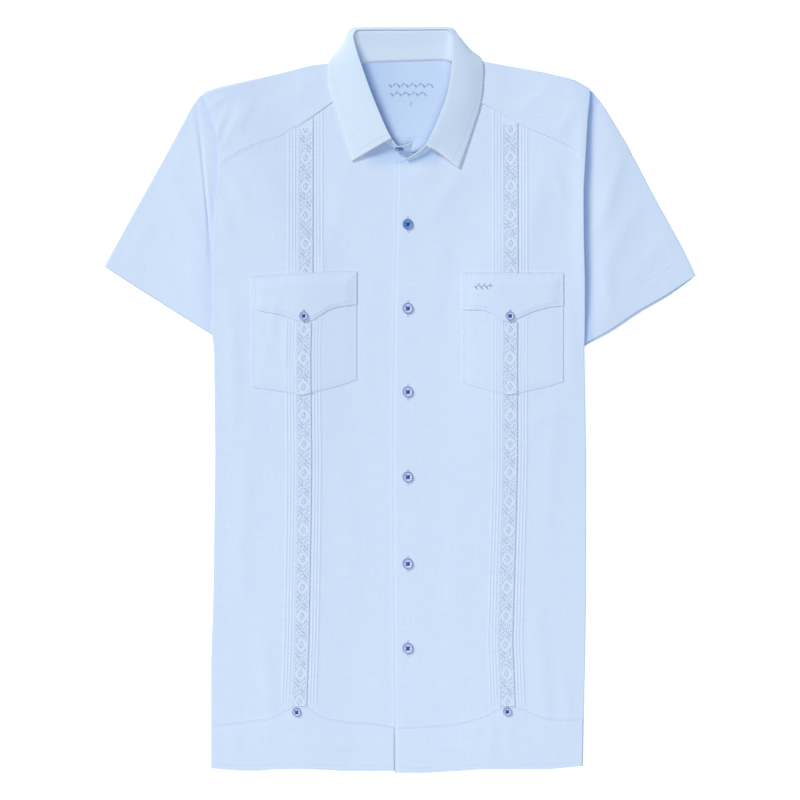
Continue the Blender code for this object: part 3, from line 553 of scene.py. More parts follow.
# Outlines of the sleeve's upper fold and of its cuff.
OVERARM = {
    "right": table("out height", (212, 337.5), (219.5, 334.6), (228.5, 322.3), (240.9, 299.2),
                   (270.6, 245.3), (297, 198), (324.5, 147.4)),
    "left": table("out height", (205, 343), (211.7, 338.2), (218, 330.5), (223.3, 323.5), (246.4, 286),
                  (282.7, 217.3), (309.1, 170), (324.5, 137.5)),
}
CUFF = {
    "right": table("out height", (324.5, 147.4), (206.8, 73.7), (167.6, 49.2)),
    "left": table("out height", (324.5, 137.5), (291.5, 115.5), (262.9, 100.1), (231, 78.1),
                  (204.1, 63.8), (167, 43.5)),
}
# How far the lower layer shows past the upper one, at most.
CUFF_PEEK = {"right": 1.0 * MM, "left": 3.0 * MM}
# Painted shade in the crease beside the body: how much of the deeper blue each sleeve gets.
CREASE_PAINTED_SHADE = {"right": 0.25, "left": 0.85}   # how much deeper blue, close in to the body
CUFF_WAY = np.array([0.5, -0.86])   # square to the cuff, outwards
CUFF_HEM = 25 * MM                 # depth of the turned-up hem
FINE_PART = 0.36                   # of the sleeve's length, from the body, has closer rows
# Soft creases of each sleeve, with x counted outwards.
SLEEVE_CREASES = {
    "right": ((213, 190, 85.2, 330, 1.8, -2.0, 3), (218.5, 250, 80, 150, 4, 0.7, 3),
              (236, 205, 65, 120, 9, 0.7, 3), (262, 150, 55, 90, 8, 0.6, -3), (288, 178, 118, 90, 8, 0.5, 2),
              (224, 130, 80, 80, 7, 0.7, -2), (246, 258, 112, 70, 7, 0.5, 2)),
    "left": ((211, 205, 90, 360, 12, -2.4, 0), (216, 323.5, 32, 16, 1.5, -0.6, 0),
             (228, 230, 72, 150, 8, 0.9, -4),
             (246, 180, 60, 130, 9, 0.7, 4),
             (272, 150, 50, 90, 8, 0.6, 3), (296, 168, 125, 70, 7, 0.5, -2),
             (230, 120, 95, 80, 7, 0.7, 2), (232, 290, 115, 60, 6, 0.5, -2)),
}


def along(outline, shares):
    """Points at these shares of the length of an outline."""
    points = np.stack([outline["out"], outline["height"]], -1)
    lengths = np.linalg.norm(np.diff(points, axis=0, prepend=points[:1]), axis=1).cumsum()
    at = shares * lengths[-1]
    return np.stack([np.interp(at, lengths, points[:, i]) for i in (0, 1)], -1)


def eased(points, times=6):
    """A line of points with its corners eased: each inner point moves to the mean of its
    neighbours and itself, a few times over."""
    for _ in range(times):
        points = np.concatenate([points[:1], (points[:-2] + 2 * points[1:-1] + points[2:]) / 4,
                                 points[-1:]])
    return points


def sleeve_height(side, out, y):
    """Middle between the two layers: in the side stack under the body, on the table beyond."""
    beyond = out - fold_edge(side, y) - 4 * MM
    return CAD_WALL / 2 + LAYER * (0.5 + 2 * smooth(1 - beyond / (70 * MM)))


def fill_between(start, end, first, last):
    """Points (v, u, 2) inside four edges: the two ruled surfaces added, less the one through
    the four corners."""
    u = np.linspace(0, 1, len(start))[None, :, None]
    v = np.linalg.norm(first - first[0], axis=1) / np.linalg.norm(first[-1] - first[0])
    v = v[:, None, None]
    ruled = (1 - v) * start + v * end + (1 - u) * first[:, None] + u * last[:, None]
    corners = (1 - u) * ((1 - v) * first[0] + v * first[-1])
    return ruled - corners - u * ((1 - v) * last[0] + v * last[-1])


def away_from(line, outward):
    """Unit directions square to a line of points, on its outward side."""
    step = np.gradient(line, axis=0)
    square = np.stack([step[:, 1], -step[:, 0]], -1)
    square /= np.linalg.norm(square, axis=1)[:, None]
    return square * np.sign(square @ outward)[:, None]


def sleeve_points(side, plan, turn, hem):
    """Height for points of the plan. turn is 1 on the upper layer and -1 on the lower one;
    hem is their distance up from the cuff, with a step down past the turned-up hem."""
    out, y = plan[..., 0], plan[..., 1]
    apart = TURN * (0.72 + 0.28 * smooth(hem / (20 * MM)))
    z = sleeve_height(side, out, y) + turn * apart
    open_part = smooth((out - fold_edge(side, y) + 4 * MM) / (8 * MM))
    lift = creases(out, y, SLEEVE_CREASES[side]) * open_part * smooth(hem / (30 * MM))
    step = 0.3 * MM * smooth((CUFF_HEM + 0.6 * MM - hem) / (1.2 * MM)) * open_part
    lower = np.minimum(lift, lift * 0.6)
    return np.stack([SIDES[side] * out, y, z + np.where(turn > 0, lift + step, lower)], -1)


sleeve_plans = {}
for side in SIDES:
    u = lines(0, 1, 1 / 46)
    v = np.concatenate([np.linspace(0, FINE_PART, 48)[:-1], lines(FINE_PART, 1, 0.02)])
    top = eased(along(OVERARM[side], v), times=1)
    hole_y = np.array([134, 145, 165, 190, 219, 245, 275, 305, top[0, 1] / MM]) * MM
    hole = {"out": fold_edge(side, hole_y) - turned_in(side, hole_y), "height": hole_y}
    cap = eased(along(hole, u))
    cap[-1] = top[0]
    hem = eased(along(CUFF[side], 1 - u))
    under = cap[0] + v[:, None] * (hem[0] - cap[0])
    plan = fill_between(cap, hem, under, top)
    from_cuff = np.linalg.norm(plan - plan[-1:], axis=2)
    sleeve_plans[side] = plan, from_cuff
    peek = CUFF_PEEK[side] * np.outer(v ** 4, np.sin(np.pi * u) ** 0.5)
    lower = plan + peek[..., None] * CUFF_WAY
    turns = np.linspace(np.pi / 2, -np.pi / 2, 7)[1:-1]
    over, beneath = away_from(top, cap[-1] - cap[0]), away_from(under, cap[0] - cap[-1])
    round_top = top[:, None] + TURN * np.cos(turns)[:, None] * over[:, None]
    round_under = under[:, None] + TURN * np.cos(turns)[:, None] * beneath[:, None]
    rise = np.sin(turns)[None, :]
    rings = [sleeve_points(side, plan, 1, from_cuff),
             sleeve_points(side, round_top, 1, from_cuff[:, -1:]),
             sleeve_points(side, lower[:, ::-1], -1, from_cuff[:, ::-1]),
             sleeve_points(side, round_under[:, ::-1], 1, from_cuff[:, :1])]
    rings[1][..., 2] += TURN * (rise - 1)
    rings[3][..., 2] += TURN * (rise[:, ::-1] - 1)
    sleeve = shell(f"sleeve_tube_{side}", np.concatenate(rings, 1), body_cloth,
                   [f"sleeve_{side}"], ring=True)
    # Painted shade: the sleeve is drawn a deeper blue close in to the body's side fold.
    x, y = places(sleeve)[:2]
    beyond = np.abs(x) - fold_edge(side, y)
    mark(sleeve, "inside", CREASE_PAINTED_SHADE[side] * smooth(1 - beyond / (13 * MM)))


# ---- Stitching ---------------------------------------------------------------
# Lockstitch in pale blue cotton-wrapped thread, about ten stitches to the inch. It is
# drawn as real thread: one bar for each stitch, and one mesh for each group of seams.

PITCH = 2.6 * MM


def thread_finish(name, colour, roughness):
    """Mercerised thread: twisted fibre with a soft gloss along it."""
    finish, tree, shader = new_finish(name)
    at = node(tree, "ShaderNodeTexCoord").outputs["Object"]
    twist = node(tree, "ShaderNodeTexNoise", {"Vector": at, "Scale": 2500.0, "Detail": 1.0})
    tone = node(tree, "ShaderNodeMix", {"Factor": twist.outputs[0], "A": paint(colour[0]),
                                        "B": paint(colour[1])}, data_type="RGBA")
    tree.links.new(tone.outputs[2], shader.inputs["Base Color"])
    shader.inputs["Roughness"].default_value = roughness
    shader.inputs["IOR"].default_value = 1.5
    shader.inputs["Sheen Weight"].default_value = 0.1
    return finish


pale_thread = thread_finish("sewing_thread_pale_blue", ("C3D6EE", "DCE8F7"), 0.6)


def stitch_ends(path, pitch=PITCH, gap=0.7 * MM):
    """Both ends (n, 2, xyz) of the stitches along a line of points: one each pitch, less a
    gap, measured along the line."""
    lengths = np.linalg.norm(np.diff(path, axis=0, prepend=path[:1]), axis=1).cumsum()
    at = np.arange(pitch / 2, lengths[-1] - pitch, pitch)
    ends = np.stack([at, at + pitch - gap], 1)
    return np.stack([np.interp(ends, lengths, path[:, i]) for i in range(3)], -1)


def thread_bars(name, ends, width, finish):
    """One mesh of bars, each four-sided, full in the middle and narrow at both ends, from
    one end to the other of each pair of points."""
    start, way = ends[:, 0], ends[:, 1] - ends[:, 0]
    across = np.cross(way, (0, 0, 1))
    across /= np.linalg.norm(across, axis=1)[:, None]
    up = np.cross(across, way)
    up /= np.linalg.norm(up, axis=1)[:, None]
    angle = np.arange(4)[:, None] * np.pi / 2 + np.pi / 4
    ring = np.cos(angle) * across[:, None] + np.sin(angle) * up[:, None]
    share, full = np.array([0, 0.5, 1]), np.array([0.45, 1, 0.45]) * width / 2
    points = (start[:, None, None] + share[None, :, None, None] * way[:, None, None]
              + full[None, :, None, None] * ring[:, None])
    near = np.arange(4)
    side = [np.stack([near + a, near + a + 4, (near + 1) % 4 + a + 4, (near + 1) % 4 + a], -1)
            for a in (0, 4)]
    faces = np.concatenate([*side, [[0, 1, 2, 3], [11, 10, 9, 8]]])
    faces = (faces[None] + 12 * np.arange(len(ends))[:, None, None]).reshape(-1, 4)
    mesh = bpy.data.meshes.new(name)
    mesh.from_pydata(points.reshape(-1, 3).tolist(), [], faces.tolist())
    placed(name, mesh, finish)


def on_front(side, out, y, height, tucked=1):
    """Points at some height above the middle of the front's wall. What lies over several
    layers follows its creases but not its tucks."""
    out, y = np.broadcast_arrays(out, y)
    z = untucked(side, out, y) + tucked * tucks(side, out, y) + height
    return np.stack([SIDES[side] * out, y, z], -1)


TOP_OF_CLOTH = WALL / 2 + 0.05 * MM
seams = []
for side in SIDES:
    outs = np.linspace(90 * MM, 197 * MM, 90)
    seam = front_top(side, outs)
    line = on_front(side, outs, seam + 2.2 * MM, TOP_OF_CLOTH + 0.3 * MM)
    seams.append(stitch_ends(line))
    plan, from_cuff = sleeve_plans[side]
    hem_line = np.array([[np.interp(CUFF_HEM, from_cuff[::-1, i], plan[::-1, i, k]) for k in (0, 1)]
                         for i in range(4, plan.shape[1])])
    line = sleeve_points(side, hem_line, 1, np.full(len(hem_line), CUFF_HEM))
    line[:, 2] += TOP_OF_CLOTH
    seams.append(stitch_ends(line[line[:, 0] * SIDES[side] > 206 * MM]))   # clear of the body
thread_bars("stitching_yoke_and_cuffs", np.concatenate(seams), 0.45 * MM, pale_thread)


# ---- Embroidered bands ---------------------------------------------------------
# Down each front runs a strip of the chambray embroidered by machine in satin stitch: a
# cross with nested chevrons and dots, then a small lozenge, over and over. Grey-blue and
# white threads; a cord of close stitches covers each edge of the strip.

BAND_HALF = 8.5 * MM
BAND_WALL = 0.5 * MM
LAID = 1.4 * MM            # middle of a piece laid on the front, above the front's middle
BAND_LAID = 0.72 * MM      # the same for the strip, which is thinner and sewn down flat
BAND_THREAD = 0.62 * MM
BAND_END = -335.6 * MM
REPEAT = 31.5 * MM         # of the design
# Outlines of the pocket and its flap, which the band runs under and over.
POCKET = {
    "right": table("out top bottom flap", (47.5, 142.0, 23.5, 106.4), (66.4, 142.3, 17.0, 104.0),
                   (79.2, 141.8, 13.6, 100.1), (85, 141.5, 12.2, 95.7), (95.7, 141.0, 9.0, 89.1),
                   (105.6, 140.5, 6.2, 86.9), (115.5, 139.8, 8.2, 89.1), (126.5, 139.0, 9.8, 93.5),
                   (137.5, 138.2, 11.7, 96.0), (154, 137.0, 13.9, 99.0), (163, 135.9, 15.1, 104.5)),
    "left": table("out top bottom flap", (68.5, 140.6, 19.8, 100.3), (90, 140.6, 13.7, 99.9),
                  (102.7, 140.6, 10.3, 94.9), (112.5, 140.6, 8.0, 88.1), (120.5, 140.6, 6.6, 87.1),
                  (128.3, 140.6, 8.2, 90.2), (146, 140.6, 12.4, 98.3), (164.6, 140.6, 16.6, 103.4),
                  (179.5, 140.6, 21.3, 104.7)),
}
# Strokes of one repeat, for the half at positive x: from (x, y) to (x, y) in millimetres,
# each stroke's width, and its thread.
MOTIF = (
    (0.6, 0.6, 5.9, 6.4, 1.2, "grey"), (0.6, -0.6, 5.9, -6.4, 1.2, "grey"),
    (2.5, 0.1, 5.9, 3.6, 0.9, "white"), (2.5, -0.1, 5.9, -3.6, 0.9, "white"),
    (5.0, 0.1, 6.1, 1.3, 0.9, "grey"), (5.0, -0.1, 6.1, -1.3, 0.9, "grey"),
    (0.2, 2.7, 4.2, 7.1, 0.9, "white"), (0.2, -2.7, 4.2, -7.1, 0.9, "white"),
    (0.2, 5.2, 3.8, 9.1, 1.0, "grey"), (0.2, -5.2, 3.8, -9.1, 1.0, "grey"),
    (0.2, 7.6, 2.8, 10.4, 0.8, "white"), (0.2, -7.6, 2.8, -10.4, 0.8, "white"),
    (0.2, 11.9, 2.6, 15.5, 0.9, "grey"), (2.6, 16.0, 0.2, 19.6, 0.9, "grey"),
    (0.4, 14.4, 0.4, 17.2, 1.0, "white"), (5.5, 8.4, 4.2, 11.6, 0.9, "grey"),
    (5.5, -8.4, 4.2, -11.6, 0.9, "grey"), (5.6, 11.4, 5.6, 14.0, 0.8, "white"),
    (5.6, 17.5, 5.6, 20.1, 0.8, "white"),
)

grey_thread = thread_finish("embroidery_thread_grey_blue", ("B2C4E2", "CAD8EC"), 0.5)
white_thread = thread_finish("embroidery_thread_white", ("D5E2F3", "ECF3FB"), 0.5)
band_cloth = chambray("chambray_band", base="CEDEF2", pale="D3E2F4", deep="C9D9F0")


def satin(strokes, pitch=BAND_THREAD):
    """Stitches (n, 2, xy) that fill each stroke from side to side, one after another along
    it, square to its length."""
    found = []
    for x0, y0, x1, y1, width in strokes:
        way = np.array([x1 - x0, y1 - y0])
        length = np.hypot(*way)
        square = np.array([-way[1], way[0]]) / length * width / 2
        at = np.arange(pitch / 2, length, pitch)[:, None] / length
        middle = np.array([x0, y0]) + at * way
        found.append(np.stack([middle - square, middle + square], 1))
    return np.concatenate(found)


motif = {}
for colour in ("grey", "white"):
    half = np.array([row[:5] for row in MOTIF if row[5] == colour]) * MM
    mirrored = half * np.array([-1, 1, -1, 1, 1])
    motif[colour] = satin(np.concatenate([half, mirrored]))

for side in SIDES:
    chart = POCKET[side]
    lengths = {
        "chest": (lambda out: front_top(side, out) - 0.3 * MM,
                  lambda out: read(chart, "out", "top", out) - 1 * MM, 0),
        "pocket": (lambda out: np.full(out.shape, chart["flap"].min() - 1.2 * MM),
                   lambda out: read(chart, "out", "bottom", out, ease=MM) + 0.3 * MM, LAID),
        "body": (lambda out: read(chart, "out", "bottom", out, ease=MM) + 0.6 * MM,
                 lambda out: np.full(out.shape, BAND_END), 0),
    }
    ends = {"grey": [], "white": []}
    for name, (top, bottom, under) in lengths.items():
        off = lines(-BAND_HALF, BAND_HALF, 2.4 * MM)
        middle = read(BAND, "height", side, 200 * MM)
        high, low = top(middle + off), bottom(middle + off)
        size = float(np.mean(high - low))
        y = low + lines(0, 1, 4 * MM / size)[:, None] * (high - low)
        out = read(BAND, "height", side, y) + off
        ridge = 0.15 * MM * smooth((np.abs(off) - 6.6 * MM) / (1 * MM))
        strip = shell(f"band_strip_{name}_{side}", on_front(side, out, y, under + BAND_LAID + ridge),
                      band_cloth, [f"band_{name}_{side}"], wall=BAND_WALL)
        steps = np.arange(np.ceil(float(low.min()) / REPEAT) - 1, float(high.max()) / REPEAT + 1)
        for colour, marks in motif.items():
            shift = np.stack([0 * steps, steps * REPEAT], -1)[:, None, None]
            spots = (marks[None] + shift).reshape(-1, 2, 2)
            inside = (spots[..., 1] > low.max() + 1.2 * MM) & (spots[..., 1] < high.min() - 1.2 * MM)
            spots = spots[inside.all(1)]
            out = read(BAND, "height", side, spots[..., 1]) + spots[..., 0]
            height = under + BAND_LAID + BAND_WALL / 2 + 0.12 * MM
            ends[colour].append(on_front(side, out, spots[..., 1], height))
        for edge, colour in ((-7.8, "grey"), (-6.8, "white"), (6.8, "white"), (7.8, "grey")):
            at = np.arange(float(low.max()) + 0.6 * MM, float(high.min()) - 0.4 * MM, 1.1 * MM)
            out = read(BAND, "height", side, at)[:, None] + (edge + np.array([-0.4, 0.4])) * MM
            ends[colour].append(on_front(side, out, at[:, None] + np.array([0, 0.3]) * MM,
                                         under + BAND_LAID + 0.42 * MM))
    for colour, finish in {"grey": grey_thread, "white": white_thread}.items():
        thread_bars(f"embroidery_{colour}_{side}", np.concatenate(ends[colour]), BAND_THREAD,
                    finish)


# ---- Pockets and flaps -----------------------------------------------------------
# A patch pocket on each side of the chest, cut to a shallow point and stitched on close to
# its edges, with the tucks of the front carried on up it. The flap is sewn on along the
# top, ends in a point, and buttons down.

POCKET_WALL = 0.6 * MM     # one layer, pressed
POCKET_EDGE = 0.72 * MM
FLAP_LAID = 2 * LAID + 0.1 * MM
FLAP_EDGE = 2.3 * MM       # along its free edge
FLAP_SEWN = 1.38 * MM      # where it is sewn down or lies flush with the pocket
PRESSED_TOP = POCKET_WALL / 2 + 0.07 * MM
PATCH_RAMP = 14 * MM       # from a sewn edge up to the full height


def patch(side, chart, top, bottom, sewn, free, height, step, tucked=1):
    """A piece between two outlines, laid on the front: low where it is sewn down at its top
    and sides, at a height of its own along the bottom, and up to its full height within."""
    first, last = chart["out"][0], chart["out"][-1]
    s = front_places(side, first, last, step)
    s[0], s[-1] = first, last
    high = read(chart, "out", top, s, ease=2 * MM)
    low = read(chart, "out", bottom, s, ease=1.5 * MM)
    t = lines(0, 1, step / 0.1)[:, None]
    y = low + t * (high - low)
    out = np.broadcast_to(s, y.shape)
    share = smooth(np.minimum.reduce([out - first, last - out, high - y]) / PATCH_RAMP)
    lift = sewn + (height - sewn) * share
    lift = np.minimum(lift, free + (height - free) * smooth((y - low) / (4 * MM)))
    return on_front(side, out, y, lift, tucked)


def flap_lift(from_edge):
    """Height of the flap's middle at a distance in from its sewn edge or its sides."""
    return FLAP_SEWN + (FLAP_LAID - FLAP_SEWN) * smooth(from_edge / PATCH_RAMP)


def outline_line(chart, edge, inset):
    """The part of an outline of a patch, moved in by some distance: outs and heights."""
    first, last = chart["out"][0] + inset, chart["out"][-1] - inset
    out = np.linspace(first, last, 90)
    return out, read(chart, "out", edge, out, ease=1.5 * MM)


for side in SIDES:
    chart = POCKET[side]
    grid = patch(side, chart, "top", "bottom", POCKET_EDGE, POCKET_EDGE, LAID, 4 * MM, tucked=0.6)
    pocket = shell(f"pocket_patch_{side}", grid, body_cloth, [f"pocket_{side}"],
                   wall=POCKET_WALL)
    flap_grid = patch(side, chart, "top", "flap", FLAP_SEWN, FLAP_EDGE, FLAP_LAID, 3 * MM, tucked=0)
    flap = shell(f"pocket_flap_cloth_{side}", flap_grid, body_cloth,
                 [f"pocket_flap_{side}"], wall=POCKET_WALL)
    inset, height = 1.6 * MM, POCKET_EDGE + PRESSED_TOP + 0.04 * MM
    out, low = outline_line(chart, "bottom", inset)
    ends = [stitch_ends(on_front(side, out, low + inset, height))]
    for place in (chart["out"][0] + inset, chart["out"][-1] - inset):
        ys = np.linspace(float(read(chart, "out", "bottom", place)) + 2 * MM,
                         float(read(chart, "out", "flap", place)) - 1 * MM, 60)
        ends.append(stitch_ends(on_front(side, np.full(60, place), ys, height)))
    inset = 4.5 * MM
    out, low = outline_line(chart, "flap", inset)
    lift = flap_lift(np.minimum(out - chart["out"][0], chart["out"][-1] - out))
    ends.append(stitch_ends(on_front(side, out, low + inset, lift + PRESSED_TOP, 0)))
    for place in (chart["out"][0] + inset, chart["out"][-1] - inset):
        ys = np.linspace(float(read(chart, "out", "flap", place)) + inset,
                         float(read(chart, "out", "top", place)) - 2 * MM, 30)
        ends.append(stitch_ends(on_front(side, np.full(30, place), ys,
                                         flap_lift(inset) + PRESSED_TOP, 0)))
    out, high = outline_line(chart, "top", 2 * MM)
    ends.append(stitch_ends(on_front(side, out, high - 1.8 * MM,
                                     FLAP_SEWN + 0.02 * MM + PRESSED_TOP, 0)))
    thread_bars(f"stitching_pocket_{side}", np.concatenate(ends), 0.42 * MM, pale_thread)


# ---- Hem bands ---------------------------------------------------------------
# A facing is sewn along the hem of each front, shaped up into a tab under the button that
# ends the embroidered band.

# Height of the facing's upper edge.
HEM_BAND_TOP = {
    "right": table("out height", (6.6, -358.6), (27.8, -354.8), (58.6, -352.7), (78, -350),
                   (89.5, -345.4), (100, -338), (105, -336.3), (119, -336.3), (125, -338.5),
                   (137, -345), (147.4, -349.5), (179, -353), (208, -356.4)),
    "left": table("out height", (-4, -358.6), (33, -357.2), (59.4, -355), (77, -350.9),
                  (92, -346), (108, -337.5), (112, -336.3), (126, -336.3), (131, -338),
                  (143.7, -342.4), (158.4, -348.4), (174.6, -349.5), (201, -348.7)),
}

HEM_BAND_EDGE = 0.85 * MM  # height of its sewn edge above the front's middle
FOLD_GAP = 1.2 * MM        # the band stops short of the side fold

for side in SIDES:
    chart = HEM_BAND_TOP[side]
    first, last = chart["out"][0], float(fold_edge(side, -380 * MM)) - FOLD_GAP
    first = max(first, OPENING["left"][0]) if side == "left" else first
    s = lines(first, last, 4 * MM)
    high = read(chart, "out", "height", s, ease=2.5 * MM)
    low = read(HEM[side], "out", "height", s) + 0.3 * MM
    y = low + lines(0, 1, 0.075)[:, None] * (high - low)
    out = first + (s - first) * (fold_edge(side, y) - FOLD_GAP - first) / (last - first)
    lift = HEM_BAND_EDGE + (LAID - HEM_BAND_EDGE) * smooth((high - y) / (9 * MM))
    band = shell(f"hem_facing_{side}", on_front(side, out, y, lift), body_cloth,
                 [f"hem_band_{side}"])
    out = np.linspace(first + MM, last - MM, 160)
    line = read(chart, "out", "height", out, ease=2.5 * MM) - 1.5 * MM
    ends = [stitch_ends(on_front(side, out, line, 1.1 * MM + TOP_OF_CLOTH))]
    line = read(HEM[side], "out", "height", out) + 6 * MM
    ends.append(stitch_ends(on_front(side, out, line, LAID + TOP_OF_CLOTH)))
    thread_bars(f"stitching_hem_{side}", np.concatenate(ends), 0.42 * MM, pale_thread)


# ---- Collar ------------------------------------------------------------------
# A classic collar of fused chambray: a stand that rises from the neck seam, and a leaf that
# turns over its upper edge and ends in two points. Both are two layers of cloth with
# interfacing, turned out and stitched a few millimetres in from the edge.

# The stand's lower edge, at the neck seam, and the roll where the leaf turns over. Rows go
# from the end on the wearer's right, round the back of the neck, to the end on the left.
STAND = table(
    "neck_x neck_y neck_z roll_x roll_y roll_z",
    (12, 275, 3.4, 13.2, 283.5, 11), (4, 275.5, 3.4, 4.4, 280, 12.5),
    (-4, 276.5, 3.4, -3, 279.8, 13), (-16, 284.5, 3.4, -9, 287.5, 13.5),
    (-27, 293, 3.4, -15.5, 300, 14), (-42, 312, 3.4, -25, 322, 14.5),
    (-50, 335, 4.6, -32.5, 341, 15), (-50.2, 354, 4.8, -40, 362, 15.5),
    (-49, 366, 4.0, -46, 380, 15.2), (-47, 370, 2.6, -49.5, 392, 14.3),
    (-43.5, 371, 2.0, -51, 400, 13.3), (-39, 371.5, 1.8, -49, 404.5, 12.5),
    (-33, 372, 1.8, -44, 406.8, 11.7), (-15, 372.8, 1.8, -18, 407.2, 10.7),
    (8, 373.5, 1.8, 8, 407.2, 10.7), (32, 374.2, 1.8, 32, 407.4, 10.7),
    (46, 374.5, 1.8, 51, 407.2, 11.7), (51, 374, 2.0, 55, 404.5, 12.5),
    (56, 372.5, 2.8, 57, 400, 13.3), (59, 371, 3.4, 58.5, 392, 14.3),
    (61.5, 366, 4.8, 58.8, 382, 15.2), (62.3, 354, 6.3, 56.5, 365, 15.5),
    (62, 338, 6.0, 53, 341, 15), (55, 312, 5.0, 45.5, 318, 14.5),
    (44, 294, 5.0, 37, 298, 14), (34, 280, 5.0, 28.5, 281, 13),
    (22, 270.5, 4.8, 18, 272, 10.5), (8, 264, 4.7, 6.6, 266, 8.5),
)
LEAF_FROM, LEAF_TO = 3, 25     # the first and last rows of STAND that carry the leaf
COLLAR_WALL = 1.0 * MM
ON_COLLAR = 0.62 * MM          # middle of a stitch above the middle of the leaf
FRONT_PART = 76                # columns of the leaf from each point to the shoulder
LEAF = table(
    "turn_x turn_y turn_z mid_x mid_y mid_z edge_x edge_y edge_z",
    (-14, 285.3, 14.2, -26.4, 278.3, 10.5, -52.8, 263.5, 3.4),
    (-21, 297, 14.6, -34, 292, 11, -57.5, 279, 3.2),
    (-31, 320, 15.2, -45, 315, 11.5, -65, 303, 3.1),
    (-39, 339, 15.7, -54, 336, 11.5, -72.5, 326, 3.1),
    (-46, 359, 16.0, -60, 355, 11.5, -78.3, 344, 3.4),
    (-52, 374, 15.6, -66, 366, 10.5, -79.8, 357, 4.0),
    (-55, 387, 13.8, -68, 376, 9, -79.2, 368.5, 4.4),
    (-56.5, 396.5, 11.8, -66.5, 384.5, 6, -76.5, 375.5, 3.2),
    (-56, 403.5, 10, -65, 390, 1.6, -73.5, 377, 0.5),
    (-53, 408, 8, -58, 389, 0.8, -67, 358, 0.5),
    (-22, 409, 7.5, -25, 390, 0.8, -30, 352, 0.5),
    (8, 409, 7.5, 8, 390, 0.8, 6, 351, 0.5),
    (34, 409.2, 7.5, 36, 390, 0.8, 40, 352, 0.5),
    (57, 408.4, 8, 64, 389, 0.8, 74, 358, 0.5),
    (62, 403, 10, 73, 389.4, 1.6, 84, 378, 0.5),
    (65, 397.5, 11.8, 77, 386, 6, 87.5, 378.5, 3.4),
    (66, 389, 13.6, 78.5, 379, 9.5, 91, 371.5, 5.2),
    (66, 378, 15.2, 78, 369, 11.5, 92.3, 363, 4.7),
    (63, 362.5, 16.0, 76, 358, 12, 92.2, 353, 4.4),
    (59.5, 339, 15.6, 74, 335, 11.5, 89.5, 328, 4.3),
    (52, 316, 15.2, 66, 311, 11, 82, 303, 4.3),
    (43, 295, 14.6, 56, 289, 10.5, 74, 279, 4.5),
    (32, 277.6, 13.4, 41.8, 272.8, 10.5, 65.8, 254.9, 4.7),
)

collar_cloth = chambray("chambray_fused_collar", base="CEDFF1", pale="D1E2F2", deep="CBDCEF",
                        bump=0.12)


def chart_points(chart, name):
    """One line of points of a chart, as rows of x, y and z."""
    return np.stack([chart[f"{name}_{axis}"] for axis in "xyz"], -1)


def between(points, parts):
    """A smooth curve through rows of points, with some parts to each step: the cubic whose
    slope at each row is half the step from the row before to the row after."""
    ends = np.concatenate([[2 * points[0] - points[1]], points, [2 * points[-1] - points[-2]]])
    t = (np.arange(parts) / parts).reshape(1, -1, *[1] * (points.ndim - 1))
    p0, p1, p2, p3 = (ends[i : len(ends) - 3 + i, None] for i in range(4))
    curve = (2 * p1 + (p2 - p0) * t + (2 * p0 - 5 * p1 + 4 * p2 - p3) * t ** 2
             + (3 * p1 - p0 - 3 * p2 + p3) * t ** 3) / 2
    return np.concatenate([curve.reshape(-1, *points.shape[1:]), points[-1:]])


def pressed(points):
    """The same points with the roll pressed flatter: what stands above 5 mm is lowered."""
    high = np.maximum(points[..., 2] - 5 * MM, 0)
    return points - high[..., None] * (0, 0, 0.2)


neck_line, roll = (pressed(chart_points(STAND, name)) for name in ("neck", "roll"))
bulge = (neck_line + roll) / 2 + np.array([0, 0, -0.8 * MM])
grid = between(np.stack([neck_line, bulge, roll]), 5)
grid = between(grid.swapaxes(0, 1), 6).swapaxes(0, 1)
stand = shell("collar_stand_band", grid, collar_cloth, ["collar_stand"],
              wall=COLLAR_WALL)

turn, mid, edge = (pressed(chart_points(LEAF, name)) for name in ("turn", "mid", "edge"))
start = roll[LEAF_FROM : LEAF_TO + 1] + np.array([0, 0, LAYER])
grid = between(np.stack([start, turn, mid, edge]), 8)
grid = between(grid.swapaxes(0, 1), 8).swapaxes(0, 1)
grid[..., 2] = np.maximum(grid[..., 2], CAD_WALL / 2)
leaf = shell("collar_leaf_fall", grid, collar_cloth, ["collar_leaf"],
             wall=COLLAR_WALL)
# Painted highlight along the leaf's lower and front edges, where the turned edge also shows more white weft.
across, down = (np.linspace(0, 1, count) for count in grid.shape[1::-1])
lower_edge = smooth((down - 0.965) / 0.03)[:, None]
front_edges = smooth((np.abs(across - 0.5) - 0.492) / 0.006)
mark(leaf, "edge", 0.8 * np.maximum(lower_edge, front_edges))

raised = grid + np.array([0, 0, ON_COLLAR])
ends = [stitch_ends(line) for line in (raised[-4, :FRONT_PART], raised[-4, -FRONT_PART:],
                                       raised[2:-3, 4], raised[2:-3, -5])]
thread_bars("stitching_collar", np.concatenate(ends), 0.42 * MM, pale_thread)


# ---- Buttons and buttonholes ---------------------------------------------------
# Four-hole buttons turned from pale blue pearl polyester, with a raised rim, sewn on with
# navy thread in a cross. Six larger ones close the front; small ones close the collar and
# the flaps and end the embroidered bands. The buttonholes are bound in close stitches.

FRONT_BUTTONS = np.array([194.2, 101.8, 9.9, -83.6, -178.9, -271.9]) * MM
FRONT_BUTTON_OUT = 8.6 * MM
POCKET_BUTTONS = {"right": 105.7 * MM, "left": 120.6 * MM}
POCKET_BUTTON_HEIGHT = 93.2 * MM
HEM_BUTTONS = {"right": (113.5 * MM, -341.8 * MM), "left": (117.9 * MM, -341.2 * MM)}
COLLAR_BUTTON = np.array((-0.5, 276.6, 7.6)) * MM
COLLAR_BUTTON_NORMAL = (-0.15, -1, 0.3)
